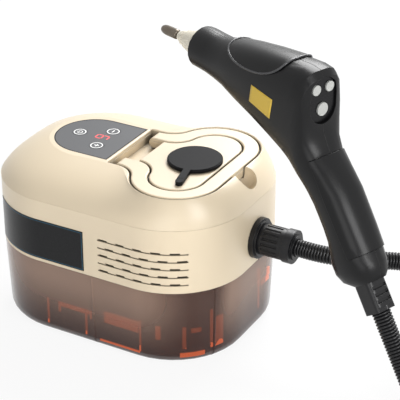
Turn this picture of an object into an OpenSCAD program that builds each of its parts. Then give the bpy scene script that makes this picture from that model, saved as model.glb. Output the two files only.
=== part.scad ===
// Handheld steam cleaner: table-top steam base, ribbed hose and steam gun
// Millimetres. Origin under the middle of the base, +X towards the hose, -Y towards the user, +Z up

/* [Base] */
// Length of the base, left to right
base_w = 220; // [214:1:232]
// Depth of the base, front to back
base_d = 168; // [162:1:178]
// Radius of the base's upright corners
corner_r = 65; // [58:1:70]
// Height of the flat top above the table
top_z = 147; // [144:1:154]
// Height where the cream wall turns into the domed top
crease_z = 125; // [121:1:128]
// Height of the joint between water tank and housing
seam_z = 69; // [66:1:71]
// Wall of the moulded housing
housing_wall = 2.4; // [2:0.1:3]
// Wall of the water tank
tank_wall = 2.6; // [2.2:0.1:3.2]
// Radius of the tank's bottom edge
tank_fillet = 7; // [6:0.5:10]
// Draft of the tank's side from seam to bottom edge
tank_draft = 2.5; // [1:0.5:4]
// Height of a rubber foot
foot_h = 2; // [1.5:0.1:3]
// Radius of a rubber foot
foot_r = 9; // [6:0.5:12]

/* [Carry handle] */
// Radius of the loop's rounded shoulders, outside
loop_r = 37; // [34:0.5:38]
// Width of the handle's band
band_w = 13.5; // [11:0.5:15]
// Distance of a shoulder's centre from the middle line
shoulder_y = 30.5; // [28:0.5:32]
// Place of the shoulder's centre along the base
shoulder_x = 55; // [54:0.5:56]
// Outside half width across the arms
neck_half = 34; // [33:0.5:35]
// Radius that blends arm into shoulder
neck_blend = 20; // [16:1:22]
// Thickness of the handle
handle_t = 9; // [8:0.5:10]
// Gap around the handle in its channel
handle_gap = 0.8; // [0.6:0.1:1.2]
// Place of the pivot along the base
pivot_x = 3; // [2:0.5:4]
// Radius of a pivot pin
pivot_r = 2; // [1.5:0.1:2.4]
// Running clearance of the pivot, on the radius
pivot_play = 0.05; // [0.03:0.01:0.1]

/* [Filler] */
// Bore of the filler neck, as a radius
filler_r = 14.6; // [13:0.2:15.4]
// Wall of the filler neck
filler_wall = 2; // [1.6:0.1:2.4]
// Radius of the rubber cap
cap_r = 22.5; // [20:0.5:23.5]
// Thickness of the rubber cap
cap_t = 3; // [2.4:0.1:4]
// Depth of the cap's plug
plug_h = 6; // [4:0.5:8]
// Width of the cap's strap
strap_w = 6; // [5:0.5:8]

/* [Control panel] */
// Half width of the panel, which is its end radius too
panel_r = 32.5; // [31:0.5:33]
// Thickness of the panel
panel_t = 2; // [1.6:0.1:2.4]
// Radius of a key
key_r = 6; // [5:0.1:6.6]
// Clearance around a key
key_play = 0.3; // [0.2:0.05:0.5]
// Travel of a key
key_travel = 0.5; // [0.3:0.1:0.6]

/* [Vents] */
// Number of vent rows
vent_rows = 5; // [3:1:5]
// Distance between vent rows
vent_pitch = 6.9; // [6:0.1:7.2]
// Height of the lowest row
vent_z = 77; // [76:0.5:80]
// Height of a vent slot
slot_h = 2; // [1.2:0.1:2.2]
// Length of a vent slot
slot_l = 8; // [6:0.5:9]
// Slots in a row
slots = 5; // [3:1:5]

/* [Hose] */
// Height of the hose connector
connector_z = 91; // [88:0.5:94]
// Radius of the connector's flange
flange_r = 17; // [15:0.5:18]
// Thickness of the connector's flange
flange_t = 6; // [4:0.5:7]
// Radius of the connector's body
connector_r = 13; // [11.5:0.5:14]
// Radius over the hose's ribs
hose_r = 7.2; // [6.8:0.1:7.4]
// Depth of a rib
rib_d = 1.1; // [0.8:0.1:1.4]
// Radius of the hose's bore
hose_bore_r = 4.6; // [4:0.1:5]
// Ribs on the stretch at the base
base_ribs = 112; // [60:1:116]
// Ribs on the stretch at the gun
gun_ribs = 76; // [40:1:84]
// Turns in the stored coil
coil_turns = 2.5; // [1.5:1:2.5]
// Radius of the stored coil
coil_r = 72; // [70:1:74]

/* [Gun] */
// Wall of the gun's shells
shell_wall = 2.4; // [2:0.1:3]
// How far the top cover stands proud
cover_rise = 1; // [0.4:0.1:1.2]
// Radius of a small button
small_button_r = 3.9; // [3.4:0.1:4.4]
// Radius of the steam button
steam_button_r = 5; // [4.4:0.1:5.6]
// Clearance around a button
button_play = 0.3; // [0.2:0.05:0.5]
// Travel of a button
button_travel = 1.5; // [1:0.1:1.8]
// Radius of the nozzle's seat for tools
nozzle_seat_r = 6; // [5:0.1:6.6]
// Length of the nozzle's seat
nozzle_seat_l = 5; // [4:0.5:6]
// Radius of the steam jet
jet_r = 1.2; // [0.8:0.1:1.6]

/* [Hidden] */
$fn = 64;
eps = 0.01;
CREAM = "#E3D2AF";
BLACK = "#1D1D1F";
SMOKE = "#6B3A22";

// Levels inside the base
seam_gap = 0.2;
gasket_t = 1.5;
deck_t = 2.5;
deck_z = seam_z + gasket_t;
deck_top = deck_z + deck_t;
rim_w = 7;
panel_floor = 2;
panel_z = top_z - panel_t;
ceiling_z = panel_z - panel_floor;
channel_floor = top_z - handle_t - 1;
pivot_z = top_z - handle_t / 2;
island_x = 13;
board_t = 1.6;
board_z = ceiling_z - 9;
dome_lip = 3;
notch_r = 11;
notch_at = [shoulder_x + loop_r + 6, 2, top_z - 5];
ring_points = 72;
dome_start = 15;
dome_end = 72;
waist_turn = 14;
crease_step = 0.2;
blend_gap = 0.05;

// Control panel
panel_x = -43;
panel_end = -10;
pocket_x = panel_end + 3;
panel_lip = 4.5;
power_at = [-57, 1];
plus_at = [-31, -14];
minus_at = [-33, 15];
display_at = [-34, 1];
display_size = [17, 11];
stem_r = 1.6;
stem_play = 0.5;
switch_h = 3.4;

// Filler cap: the strap runs from the cap to its anchor
cap_at = [shoulder_x - 1, 0];
cap_lift = 0.3;
cap_z = top_z + cap_lift;
strap_dir = [9, -42] / norm([9, -42]);
strap_turn = atan2(strap_dir.y, strap_dir.x);
strap_l = 38;
anchor_l = 7;
fold_gap = 0.3;
plug_top_play = 0.6;
plug_taper = 1;
plug_room = 0.8;
mouth_step = 0.4;
anchor_stem_r = 1.8;
neck_bottom = deck_z - 8;

// Deck furniture
post_r = 5;
posts = [for (sx = [-1, 1], sy = [-1, 1]) [sx * (base_w / 2 - 30), sy * (base_d / 2 - 34)]];
screw_r = 1.6;
screw_head_r = 3;
foot_at = [for (sx = [-1, 1], sy = [-1, 1]) [sx * 66, sy * 40]];
boiler_at = [60 - base_w / 2, 56 - base_d / 2];
boiler_size = [70, 46, 30];
boiler_z = deck_top + 5;
pump_at = [64 - base_w / 2, base_d / 2 - 48];
pump_r = 16;
pump_l = 40;
pump_z = deck_top + pump_r + 3;
power_board_at = [33, base_d / 2 - 32];
power_board_size = [56, 28];
standoff_h = 5;
tube_r = 3;
pipe_z = boiler_z + boiler_size.z - 8;
pipe_clear = 6.4;
pipe_x = cap_at.x + filler_r + filler_wall + tube_r + pipe_clear;
suction_x = pump_at.x - pump_l / 2 - 13;
feed_x = boiler_at.x + boiler_size.x / 2 + 11;
deck_play = 0.2;

// Hose connector
connector_y = 3;
wall_x = base_w / 2;
connector_x = wall_x + flange_t;
connector_l = 30;
connector_end = connector_x + connector_l;
hose_play = 0.35;
socket_d = 6;
flutes = 18;

// Cord bush at the back
bush_at = [-30, 84];
bush_r = 7;
bush_bore_r = 3.6;

// Route of the hose, points chosen by hand, and the coil between its two stretches
coil_at = [350, -15];
coil_top = 46;
coil_low = 7.4;
loop_rings = 24;
base_route = [
  [140.5, 3, 91], [150, 3, 91], [162, 3, 91], [175, 4.5, 91], [190, 9, 90.5],
  [205, 16, 89.7], [222, 27, 88], [240, 36, 84.5], [258, 43.5, 79.5], [276, 49.5, 72.5],
  [294, 53.5, 64.5], [312, 56, 56.5], [331, 57, 49.8], [349, 57, 46.5]
];
gun_route = [
  [349, -87, 7.4], [334, -88.5, 7.4], [319, -92, 11], [307, -94, 20.5], [298.5, -94, 32.5],
  [291.5, -92.5, 45.5], [284.1, -90.4, 58.8], [276.3, -87.7, 71.2], [268.5, -84.9, 83.6],
  [260.6, -82.1, 96], [252.7, -79.2, 108.5], [249.9, -78.2, 113]
];

// Gun: its own frame has +X along the barrel to the nozzle, +Y to its left and +Z up
gun_at = [200, -60, 254];
gun_turn = 160;
barrel_x = 139.5;
back_x = 10;
grip_dir = [-0.559, -0.829];
grip_out = [0.829, -0.559];
grip_half = 16;
gun_points = 20;
relief_l = 23;
relief_start = 128;
relief_shift = 1.9;
button_recess = 2;
button_panel_t = 1.2;
back_wall = 4.6;
seat_r = 12.5;
seat_z = [-6, 4];
panel_face = back_x + button_recess;
button_flange_t = 1;
button_proud = 1.2;
switch_gap = 0.1;
small_button_y = 6.5;
small_button_z = 8;
steam_button_z = -8;
cover_mid = [71, 24];
cover_half = [34, 15.3];
cover_gap = 0.2;
insert_rise = 1;
insert_g = [32, 107];
insert_deep = 28.5;
collar_r = 9;
collar_brim_r = 12;
collar_l = 18;
collar_end_l = 5;
tip_r = 4;
tip_l = 21;
steam_tube_r = 2.6;

// Sections of the gun from barrel to grip: outer point, inner point, half width, squareness
function grip_station(g, share, half, square, heel = 0) =
  let (c = g * grip_dir + 33 * grip_out)
  [c - share * grip_half * grip_out, c + (share * grip_half + heel) * grip_out, half, square];
stations = [
  [[139.5, 16], [139.5, -16.5], 16.5, 2],
  [[134, 16.2], [134, -16.8], 16.7, 2],
  [[124, 15.2], [124, -17.6], 16.4, 2.1],
  [[115, 14.5], [115, -19.2], 16.5, 2.2],
  [[104, 16.6], [105, -21.4], 17.6, 2.3],
  [[86, 18.9], [90, -26.8], 19.2, 2.6],
  [[64, 21.1], [69, -34.6], 20, 2.9],
  [[42, 22.5], [51, -42.6], 20.3, 3.2],
  [[22, 22.8], [38, -49], 20.5, 3.4],
  [[14, 21.3], [32, -52.5], 20.5, 3.5],
  [[10.5, 16.5], [28, -55], 20.5, 3.5],
  [[10, 5], [24, -58], 20.3, 3.5],
  [[10, -10], [20, -61.5], 19.8, 3.4],
  [[9, -25], [16, -65], 19, 3.2],
  [[3, -37], [13, -68.5], 18.2, 3],
  [[-7, -47], [10.5, -72.5], 17.6, 2.8],
  grip_station(62, 1, 17.2, 2.7),
  grip_station(80, 1, 17, 2.7),
  grip_station(91, 1, 17, 2.7, 1),
  grip_station(99, 1, 17, 2.7, 4),
  grip_station(107, 1, 17, 2.7, 7),
  grip_station(116, 1, 16.6, 2.6, 7.6),
  grip_station(123, 0.92, 15.2, 2.5, 5.4),
  grip_station(128, 0.7, 11.5, 2.4, 1.5)
];

// Plan shapes

module rounded_plan(a, b, r) {
  for (sx = [-1, 1], sy = [-1, 1]) translate([sx * (a - r), sy * (b - r)]) circle(r);
  square([2 * a, 2 * (b - r)], center = true);
  square([2 * (a - r), 2 * b], center = true);
}

// Plan of the base, drawn in by an inset
module base_plan(inset) rounded_plan(base_w / 2 - inset, base_d / 2 - inset, corner_r - inset);

// Bell-shaped plan of the handle: two shoulders, the neck and the blends between them
module bell_plan(r, neck, x_from) {
  rise = neck + neck_blend - shoulder_y;
  blend_x = shoulder_x - sqrt(pow(r + neck_blend, 2) - rise * rise);
  touch = [shoulder_x, shoulder_y] + (r + blend_gap / 2) / (r + neck_blend) * [blend_x - shoulder_x, rise];
  for (s = [-1, 1]) scale([1, s]) {
    translate([shoulder_x, shoulder_y]) circle(r);
    difference() {
      polygon([[blend_x, 0], [blend_x, neck], touch, [shoulder_x, shoulder_y], [shoulder_x, 0]]);
      translate([blend_x, neck + neck_blend]) circle(neck_blend - blend_gap);
    }
  }
  translate([shoulder_x, -shoulder_y]) square([r, 2 * shoulder_y]);
  translate([x_from, -neck]) square([shoulder_x - r / 2 - x_from, 2 * neck]);
}

// Panel plan: straight at the hand pocket, round at the far end
module panel_plan(grow) {
  translate([panel_x, 0]) circle(panel_r + grow);
  translate([panel_x, -panel_r - grow]) square([panel_end - panel_x + grow, 2 * (panel_r + grow)]);
}

// Distances from the middle to an outline, along a ray

function ray_disc(d, c, r) =
  let (m = d * c, q = m * m - c * c + r * r)
  q < 0 ? 0 : max(m + sqrt(q), 0);

function ray_base(phi, inset) =
  let (a = base_w / 2 - inset, b = base_d / 2 - inset, r = corner_r - inset,
       d = [abs(cos(phi)), abs(sin(phi))], c = [a - r, b - r])
  d.y * a <= c.y * d.x ? a / d.x : d.x * b <= c.x * d.y ? b / d.y : ray_disc(d, c, r);

// Shoulders of the handle; past the tangent the reach fades instead of falling to nothing
function ray_head(phi) =
  let (d = [cos(phi), abs(sin(phi))], c = [shoulder_x, shoulder_y], r = loop_r + dome_lip,
       side = shoulder_x + r, past = atan2(d.y, d.x) - atan2(c.y, c.x) - asin(r / norm(c)))
  d.x > 0 && side * d.y <= shoulder_y * d.x ? side / d.x
    : past <= 0 ? ray_disc(d, c, r)
    : sqrt(c * c - r * r) * exp(-pow(past / waist_turn, 2));

function ray_neck(phi) =
  min((neck_half + dome_lip) / max(abs(sin(phi)), eps), shoulder_x * 0.8 / max(abs(cos(phi)), eps));

function ray_panel(phi) = ray_disc([cos(phi), sin(phi)], [panel_x, 0], panel_r + panel_lip);

// Edge of the flat top: panel, neck and handle shoulders run into each other
function ray_top(phi, power) =
  pow(pow(ray_head(phi), power) + pow(ray_neck(phi), power) + pow(ray_panel(phi), power), 1 / power);

function ring_at(z, radii) =
  [for (i = [0 : len(radii) - 1])
    let (phi = i * 360 / len(radii)) [radii[i] * cos(phi), radii[i] * sin(phi), z]];

function phis() = [for (i = [0 : ring_points - 1]) i * 360 / ring_points];

// Radii evened out along the ring, so many times over
function even(v, times) =
  let (n = len(v))
  times <= 0 ? v
    : even([for (i = [0 : n - 1]) (v[(i + n - 1) % n] + 2 * v[i] + v[(i + 1) % n]) / 4], times - 1);

// One ring of the domed top, share 0 at the crease and 1 at the flat; the waist fills up on the way down
function dome_ring(share, inset, z_low, z_high) =
  let (a = dome_start + share * (dome_end - dome_start),
       out = (cos(a) - cos(dome_end)) / (cos(dome_start) - cos(dome_end)),
       rise = (sin(a) - sin(dome_start)) / (sin(dome_end) - sin(dome_start)),
       top = even([for (p = phis()) ray_top(p, 14)], round(1 + 16 * out)),
       base = [for (p = phis()) ray_base(p, 0)])
  ring_at(z_low + rise * (z_high - z_low),
          [for (i = [0 : ring_points - 1]) top[i] + out * (base[i] - top[i]) - inset]);

// Skin over a stack of rings, each anticlockwise when seen from the end of the stack

function middle(ring) = [for (p = ring) 1] * ring / len(ring);
function vsum(v) = v * [for (x = v) 1];

module skin(rings) {
  n = len(rings[0]);
  m = len(rings);
  points = concat([for (r = rings) each r], [middle(rings[0]), middle(rings[m - 1])]);
  sides = [for (k = [0 : m - 2], i = [0 : n - 1])
    let (a = k * n + i, b = k * n + (i + 1) % n) each [[a, a + n, b], [b, a + n, b + n]]];
  low = [for (i = [0 : n - 1]) [m * n, i, (i + 1) % n]];
  high = [for (i = [0 : n - 1]) [m * n + 1, (m - 1) * n + (i + 1) % n, (m - 1) * n + i]];
  polyhedron(points, concat(sides, low, high), convexity = 8);
}

// Water tank: the smoky tub that carries the base

function tank_ring(z, inset) = ring_at(z, [for (p = phis()) ray_base(p, inset)]);

// Tub outline: round bottom edge, then a drafted side
module tub(wall, z_top) {
  r = tank_fillet;
  bottom = foot_h + wall;
  edge = [for (a = [0 : 22.5 : 90])
    tank_ring(bottom + (r - wall) * (1 - cos(a)), tank_draft + wall + (r - wall) * (1 - sin(a)))];
  skin(concat(edge, [tank_ring(z_top, wall)]));
}

module tank_baffles() {
  floor_z = foot_h + tank_wall - eps;
  translate([-32, -58, floor_z]) cube([2, 70, 34]);
  translate([-30, -34, floor_z]) cube([62, 2, 26]);
  translate([30, -62, floor_z]) cube([2, 62, 38]);
  translate([32, 24, floor_z]) cube([52, 2, 30]);
}

module water_tank() {
  color(SMOKE, 0.75) difference() {
    union() {
      difference() {
        tub(0, seam_z);
        tub(tank_wall, seam_z + 1);
      }
      translate([0, 0, seam_z - 5]) linear_extrude(5) difference() {
        base_plan(tank_wall / 2);
        base_plan(rim_w);
      }
      tank_baffles();
      for (p = posts) translate([p.x, p.y, foot_h + tank_wall - eps])
        cylinder(r = post_r, h = deck_z - foot_h - tank_wall + eps);
    }
    for (p = posts) translate([p.x, p.y, deck_z - 20]) cylinder(r = screw_r, h = 30);
  }
}

module rubber_feet() {
  color(BLACK) for (p = foot_at) translate([p.x, p.y, 0]) cylinder(r = foot_r, h = foot_h);
}

module tank_gasket() {
  color("#3A3A3C") translate([0, 0, seam_z]) linear_extrude(gasket_t) difference() {
    base_plan(housing_wall + 0.4);
    base_plan(rim_w);
  }
}

// Deck between water and electrics
module chassis_deck() {
  color("#D8D4CA") difference() {
    union() {
      translate([0, 0, deck_z]) linear_extrude(deck_t) base_plan(housing_wall + 0.4);
      for (sx = [-1, 1], sy = [-1, 1])
        translate([boiler_at.x + sx * 22, boiler_at.y + sy * 17, deck_top - eps])
          cylinder(r = 4, h = boiler_z - deck_top + eps);
      for (sx = [-1, 1], sy = [-1, 1])
        translate([power_board_at.x + sx * 24, power_board_at.y + sy * 10, deck_top - eps])
          cylinder(r = 2.5, h = standoff_h + eps);
      for (sx = [-1, 1]) translate([pump_at.x + sx * 12 - 3, pump_at.y - 12, deck_top - eps])
        cube([6, 24, pump_z - deck_top]);
    }
    translate([cap_at.x, cap_at.y, deck_z - 1])
      cylinder(r = filler_r + filler_wall + deck_play, h = deck_t + 2);
    translate([pump_at.x, pump_at.y, pump_z]) rotate([0, 90, 0])
      cylinder(r = pump_r + deck_play / 2, h = pump_l + 10, center = true);
    translate([suction_x, pump_at.y, deck_z - 1]) cylinder(r = tube_r + deck_play, h = deck_t + 2);
    for (p = posts) translate([p.x, p.y, deck_z - 1])
      cylinder(r = screw_r + deck_play, h = deck_t + 2);
  }
}

module deck_screws() {
  color("silver") for (p = posts) translate([p.x, p.y, 0]) {
    translate([0, 0, deck_z - 16]) cylinder(r = screw_r, h = deck_top - deck_z + 16);
    difference() {
      translate([0, 0, deck_top]) cylinder(r = screw_head_r, h = 2);
      translate([0, 0, deck_top + 1.4]) cube([1, 4, 2], center = true);
      translate([0, 0, deck_top + 1.4]) cube([4, 1, 2], center = true);
    }
  }
}

// Upper housing: cream moulding with vents, panel seat, handle channel and filler hole

// Upright wall with the dome set into its top; the small step between them is the crease
module housing_form(wall, step, z_low, z_turn, z_high, steps) {
  set = wall + step;
  translate([0, 0, z_low]) linear_extrude(z_turn - z_low) base_plan(wall);
  skin(concat([ring_at(z_turn - 1, [for (p = phis()) ray_base(p, 0) - set])],
    [for (k = [0 : steps]) dome_ring(k / steps, set, z_turn, z_high)]));
}

module housing_outside() housing_form(0, crease_step, seam_z + seam_gap, crease_z, top_z, 7);

module housing_inside()
  housing_form(housing_wall, 3 * crease_step, seam_z - 1, crease_z - housing_wall / 2, ceiling_z, 5);

// Walls kept around the handle's channel, the hand pocket and the finger notch
module channel_walls() {
  out = handle_gap + housing_wall;
  translate([0, 0, channel_floor - housing_wall]) linear_extrude(top_z) {
    difference() {
      bell_plan(loop_r + out, neck_half + out, pocket_x - housing_wall);
      bell_plan(loop_r - band_w - out, neck_half - band_w - out, island_x + housing_wall);
    }
  }
  translate(notch_at) sphere(r = notch_r + housing_wall);
}

module handle_channel() {
  gap = handle_gap;
  translate([0, 0, channel_floor]) linear_extrude(top_z) difference() {
    bell_plan(loop_r + gap, neck_half + gap, pocket_x);
    intersection() {
      bell_plan(loop_r - band_w - gap, neck_half - band_w - gap, pocket_x);
      translate([island_x, -base_d / 2]) square([base_w, base_d]);
    }
  }
}

// Place of a vent slot: along the flat front, then round the corner
vent_from = 12.5;
flat_end = base_w / 2 - corner_r;
vent_run = flat_end - vent_from + corner_r * 40 * PI / 180;

module at_vent(s) {
  flat = flat_end - vent_from;
  if (s <= flat) translate([vent_from + s, -base_d / 2, 0]) children();
  else translate([flat_end, corner_r - base_d / 2, 0]) rotate((s - flat) / corner_r * 180 / PI)
    translate([0, -corner_r, 0]) children();
}

module vent_slots() {
  step = vent_run / slots;
  for (row = [0 : vent_rows - 1], k = [0 : slots - 1])
    translate([0, 0, vent_z + row * vent_pitch])
      at_vent(k * step + slot_l / 2 + (row % 2 == 0 ? 1 : step / 2 - 1))
        cube([slot_l, 4 * housing_wall, slot_h], center = true);
}

module vent_grooves() {
  deep = 1.2;
  for (row = [0 : vent_rows - 1]) translate([0, 0, vent_z + row * vent_pitch - slot_h / 2])
    linear_extrude(1.2) intersection() {
      difference() {
        base_plan(-1);
        base_plan(deep);
      }
      union() {
        translate([vent_from, -base_d]) square([flat_end - vent_from + eps, base_d]);
        translate([flat_end, corner_r - base_d / 2]) polygon([[0, 0], [0, -base_d],
          [base_d * sin(40), -base_d * cos(40)]]);
      }
    }
}

module upper_housing() {
  color(CREAM) difference() {
    union() {
      difference() {
        housing_outside();
        difference() {
          housing_inside();
          channel_walls();
        }
      }
      for (sx = [-27, 27], sy = [-20, 20]) translate([panel_x + sx * 0.9, sy, board_z + board_t])
        cylinder(r = 2.5, h = ceiling_z - board_z - board_t + eps);
    }
    translate([0, 0, panel_z]) linear_extrude(panel_t + 1) panel_plan(0.15);
    handle_channel();
    for (p = [power_at, plus_at, minus_at]) translate([p.x, p.y, ceiling_z - 1])
      cylinder(r = stem_r + stem_play, h = panel_floor + 2);
    translate([display_at.x, display_at.y, panel_z - panel_floor / 2])
      cube([display_size.x + 0.6, display_size.y + 0.6, panel_floor + 1], center = true);
    translate([cap_at.x, cap_at.y, ceiling_z - 20]) cylinder(r = filler_r + filler_wall, h = 40);
    translate(anchor_point(ceiling_z - 10)) cylinder(r = anchor_stem_r, h = 30);
    for (s = [-1, 1]) translate([pivot_x, s * (neck_half + 2.5), pivot_z]) rotate([90, 0, 0])
      cylinder(r = pivot_r, h = 7, center = true);
    translate(notch_at) sphere(r = notch_r);
    vent_slots();
    vent_grooves();
    translate([wall_x - 10, connector_y, connector_z]) rotate([0, 90, 0]) cylinder(r = 9, h = 20);
    translate([bush_at.x, base_d / 2, bush_at.y]) rotate([90, 0, 0])
      cylinder(r = bush_r, h = 20, center = true);
  }
}

// Filler neck, its cap's anchor, and the pivot pins

module filler_neck() {
  color("#CFCFCB") translate([cap_at.x, cap_at.y, neck_bottom]) difference() {
    cylinder(r = filler_r + filler_wall, h = top_z - neck_bottom);
    translate([0, 0, -1]) cylinder(r = filler_r, h = top_z);
    translate([0, 0, top_z - plug_h - plug_room - neck_bottom])
      cylinder(r = filler_r + mouth_step, h = top_z);
  }
}

function anchor_point(z) =
  let (p = cap_at + (strap_l + fold_gap + anchor_l - strap_w / 2) * strap_dir) [p.x, p.y, z];

module cap_anchor() {
  color(BLACK) {
    translate([cap_at.x, cap_at.y, top_z]) rotate(strap_turn) linear_extrude(cap_t + cap_lift) {
      translate([strap_l + fold_gap, -strap_w / 2]) square([anchor_l - strap_w / 2, strap_w]);
      translate([strap_l + fold_gap + anchor_l - strap_w / 2, 0]) circle(strap_w / 2);
    }
    translate(anchor_point(ceiling_z - 3)) cylinder(r = anchor_stem_r, h = top_z - ceiling_z + 3 + eps);
  }
}

module handle_pins() {
  color("silver") for (s = [-1, 1]) translate([pivot_x, s * (neck_half - 2), pivot_z])
    rotate([s * -90, 0, 0]) translate([0, 0, -6]) cylinder(r = pivot_r, h = 14);
}

// Control panel with its board and display

module control_panel() {
  color("#6F7073") difference() {
    translate([0, 0, panel_z]) linear_extrude(panel_t) panel_plan(0);
    for (p = [power_at, plus_at, minus_at]) translate([p.x, p.y, panel_z - 1])
      cylinder(r = key_r + key_play, h = panel_t + 2);
  }
}

module control_board() {
  color("#2F6B3A") {
    translate([panel_x - 28, -24, board_z]) cube([58, 48, board_t]);
    for (p = [power_at, plus_at, minus_at]) translate([p.x - 3, p.y - 3, board_z + board_t - eps])
      cube([6, 6, switch_h + eps]);
  }
}

module display_module() {
  color("#26262A") translate([display_at.x - display_size.x / 2, display_at.y - display_size.y / 2,
    board_z + board_t]) cube([display_size.x, display_size.y, panel_z - board_z - board_t - 0.2]);
}

module key(p) {
  color("#6F7073") translate([p.x, p.y, 0]) {
    translate([0, 0, panel_z + key_travel + 0.2]) cylinder(r = key_r, h = panel_t - key_travel - 0.1);
    translate([0, 0, board_z + board_t + switch_h + key_travel + 0.1])
      cylinder(r = stem_r, h = panel_z - board_z - board_t - switch_h + 0.2);
  }
}

module key_power() key(power_at);
module key_plus() key(plus_at);
module key_minus() key(minus_at);

// Works on the deck: boiler, thermostat, pump, tubes and power board

module boiler() {
  s = boiler_size;
  color("#A9ABAE") translate([boiler_at.x, boiler_at.y, boiler_z]) {
    linear_extrude(s.z) rounded_plan(s.x / 2, s.y / 2, 8);
    for (k = [-2 : 2]) translate([k * 12 - 1.5, -s.y / 2 + 6, s.z - eps]) cube([3, s.y - 26, 5]);
    for (t = [-6, 6]) translate([-s.x / 2 - 9, t, s.z / 2]) rotate([0, 90, 0]) cylinder(r = 3, h = 10);
  }
}

module boiler_thermostat() {
  color("#D9D9D9") translate([boiler_at.x, boiler_at.y + 13, boiler_z + boiler_size.z]) {
    cylinder(r = 7.5, h = 3);
    cylinder(r = 6, h = 9);
    for (s = [-1, 1]) translate([s * 3 - 0.4, -2, 8]) cube([0.8, 4, 7]);
  }
}

module water_pump() {
  color("#B7A06A") translate([pump_at.x, pump_at.y, pump_z]) rotate([0, 90, 0]) {
    cylinder(r = pump_r, h = pump_l, center = true);
    translate([0, 0, -pump_l / 2 - 10]) cylinder(r = 6, h = pump_l + 20);
    for (s = [-1, 1]) translate([0, 0, s * (pump_l / 2 - 2)])
      cylinder(r = pump_r + 0.6, h = 1.2, center = true);
  }
}

// Round bar through a list of points, with ball corners
module bar(points, r) {
  for (i = [0 : len(points) - 2]) {
    d = points[i + 1] - points[i];
    translate(points[i]) rotate([0, acos(d.z / norm(d)), atan2(d.y, d.x)]) cylinder(r = r, h = norm(d));
  }
  if (len(points) > 2) for (i = [1 : len(points) - 2]) translate(points[i]) sphere(r = 1.03 * r);
}

module suction_tube() {
  color("#D7D2C4") bar([[pump_at.x - pump_l / 2 - 10, pump_at.y, pump_z],
    [suction_x, pump_at.y, pump_z], [suction_x, pump_at.y, foot_h + tank_wall + 13]], tube_r);
}

module suction_filter() {
  color("#E8E4DA") translate([suction_x, pump_at.y, foot_h + tank_wall]) difference() {
    cylinder(r = 7, h = 13);
    for (a = [0 : 60 : 300]) rotate(a) translate([6.4, 0, 6.5]) cube([2, 2, 8], center = true);
  }
}

module feed_tube() {
  color("#D7D2C4") bar([[pump_at.x + pump_l / 2 + 10, pump_at.y, pump_z], [feed_x, pump_at.y, pump_z],
    [feed_x, boiler_at.y + 8, pump_z], [boiler_at.x + boiler_size.x / 2, boiler_at.y + 8, pump_z]], tube_r);
}

module steam_pipe() {
  color("#C9C9C4") bar([[boiler_at.x + boiler_size.x / 2, boiler_at.y - 8, pipe_z],
    [pipe_x, boiler_at.y - 8, pipe_z], [pipe_x, connector_y, connector_z],
    [wall_x, connector_y, connector_z]],
    tube_r);
}

module power_board() {
  s = power_board_size;
  color("#3B7A4A") translate([power_board_at.x, power_board_at.y, deck_top + standoff_h]) {
    translate([-s.x / 2, -s.y / 2, 0]) cube([s.x, s.y, board_t]);
    translate([-16, 0, board_t - eps]) cylinder(r = 6, h = 16);
    translate([-4, -9, board_t - eps]) cube([14, 18, 13]);
    translate([14, -8, board_t - eps]) cube([9, 4, 18]);
    translate([14, 2, board_t - eps]) cube([11, 8, 10]);
  }
}

// Hose connector and cord bush

module hose_flange() {
  color(BLACK) translate([wall_x, connector_y, connector_z]) rotate([0, 90, 0]) {
    difference() {
      union() {
        cylinder(r = flange_r, h = flange_t - 1.5);
        cylinder(r = flange_r - 1.5, h = flange_t);
        translate([0, 0, -8]) cylinder(r = 9, h = 9);
      }
      translate([0, 0, -9]) cylinder(r = tube_r, h = flange_t + 20);
    }
  }
}

module hose_connector() {
  color(BLACK) translate([connector_x, connector_y, connector_z]) rotate([0, 90, 0]) difference() {
    union() {
      cylinder(r = connector_r, h = connector_l - 9);
      translate([0, 0, connector_l - 9 - eps]) cylinder(r = connector_r + 1, h = 7);
      translate([0, 0, connector_l - 9]) cylinder(r = connector_r - 2.5, h = 9);
    }
    for (k = [0 : flutes - 1]) rotate(k * 360 / flutes) translate([connector_r, 0, 3])
      cylinder(r = 1, h = connector_l - 16);
    translate([0, 0, connector_l - socket_d]) cylinder(r = hose_r + hose_play, h = socket_d + 1);
    translate([0, 0, -1]) cylinder(r = tube_r, h = connector_l);
  }
}

module cord_bush() {
  color(BLACK) translate([bush_at.x, base_d / 2, bush_at.y]) rotate([-90, 0, 0]) difference() {
    union() {
      translate([0, 0, -6]) cylinder(r = bush_r, h = 6 + eps);
      cylinder(r = bush_r + 2.5, h = 3);
      translate([0, 0, 3 - eps]) cylinder(r1 = bush_r, r2 = bush_r - 2, h = 9);
    }
    translate([0, 0, -8]) cylinder(r = bush_bore_r, h = 30);
  }
}

// Hose: a smooth curve through the route, with a square ring at each step

function curve_at(route, u) =
  let (last = len(route) - 1, s = min(u * last, last - eps / 1000), i = floor(s), t = s - i,
       b = route[i], c = route[i + 1],
       a = i > 0 ? route[i - 1] : 2 * b - c, d = i + 2 <= last ? route[i + 2] : 2 * c - b)
  (2 * b + (c - a) * t + (2 * a - 5 * b + 4 * c - d) * t * t
    + (3 * b - a - 3 * c + d) * t * t * t) / 2;

function unit(v) = v / norm(v);
function heading(route, u) =
  unit(curve_at(route, min(u + 0.002, 1)) - curve_at(route, max(u - 0.002, 0)));

// Circle of n points square to a heading, turned the same way all along the hose
function ring_round(c, h, r, n) =
  let (side = unit(cross(h, abs(h.z) > 0.95 ? [1, 0, 0] : [0, 0, 1])), up = cross(side, h))
  [for (k = [0 : n - 1]) c + r * (cos(k * 360 / n) * side - sin(k * 360 / n) * up)];

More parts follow.
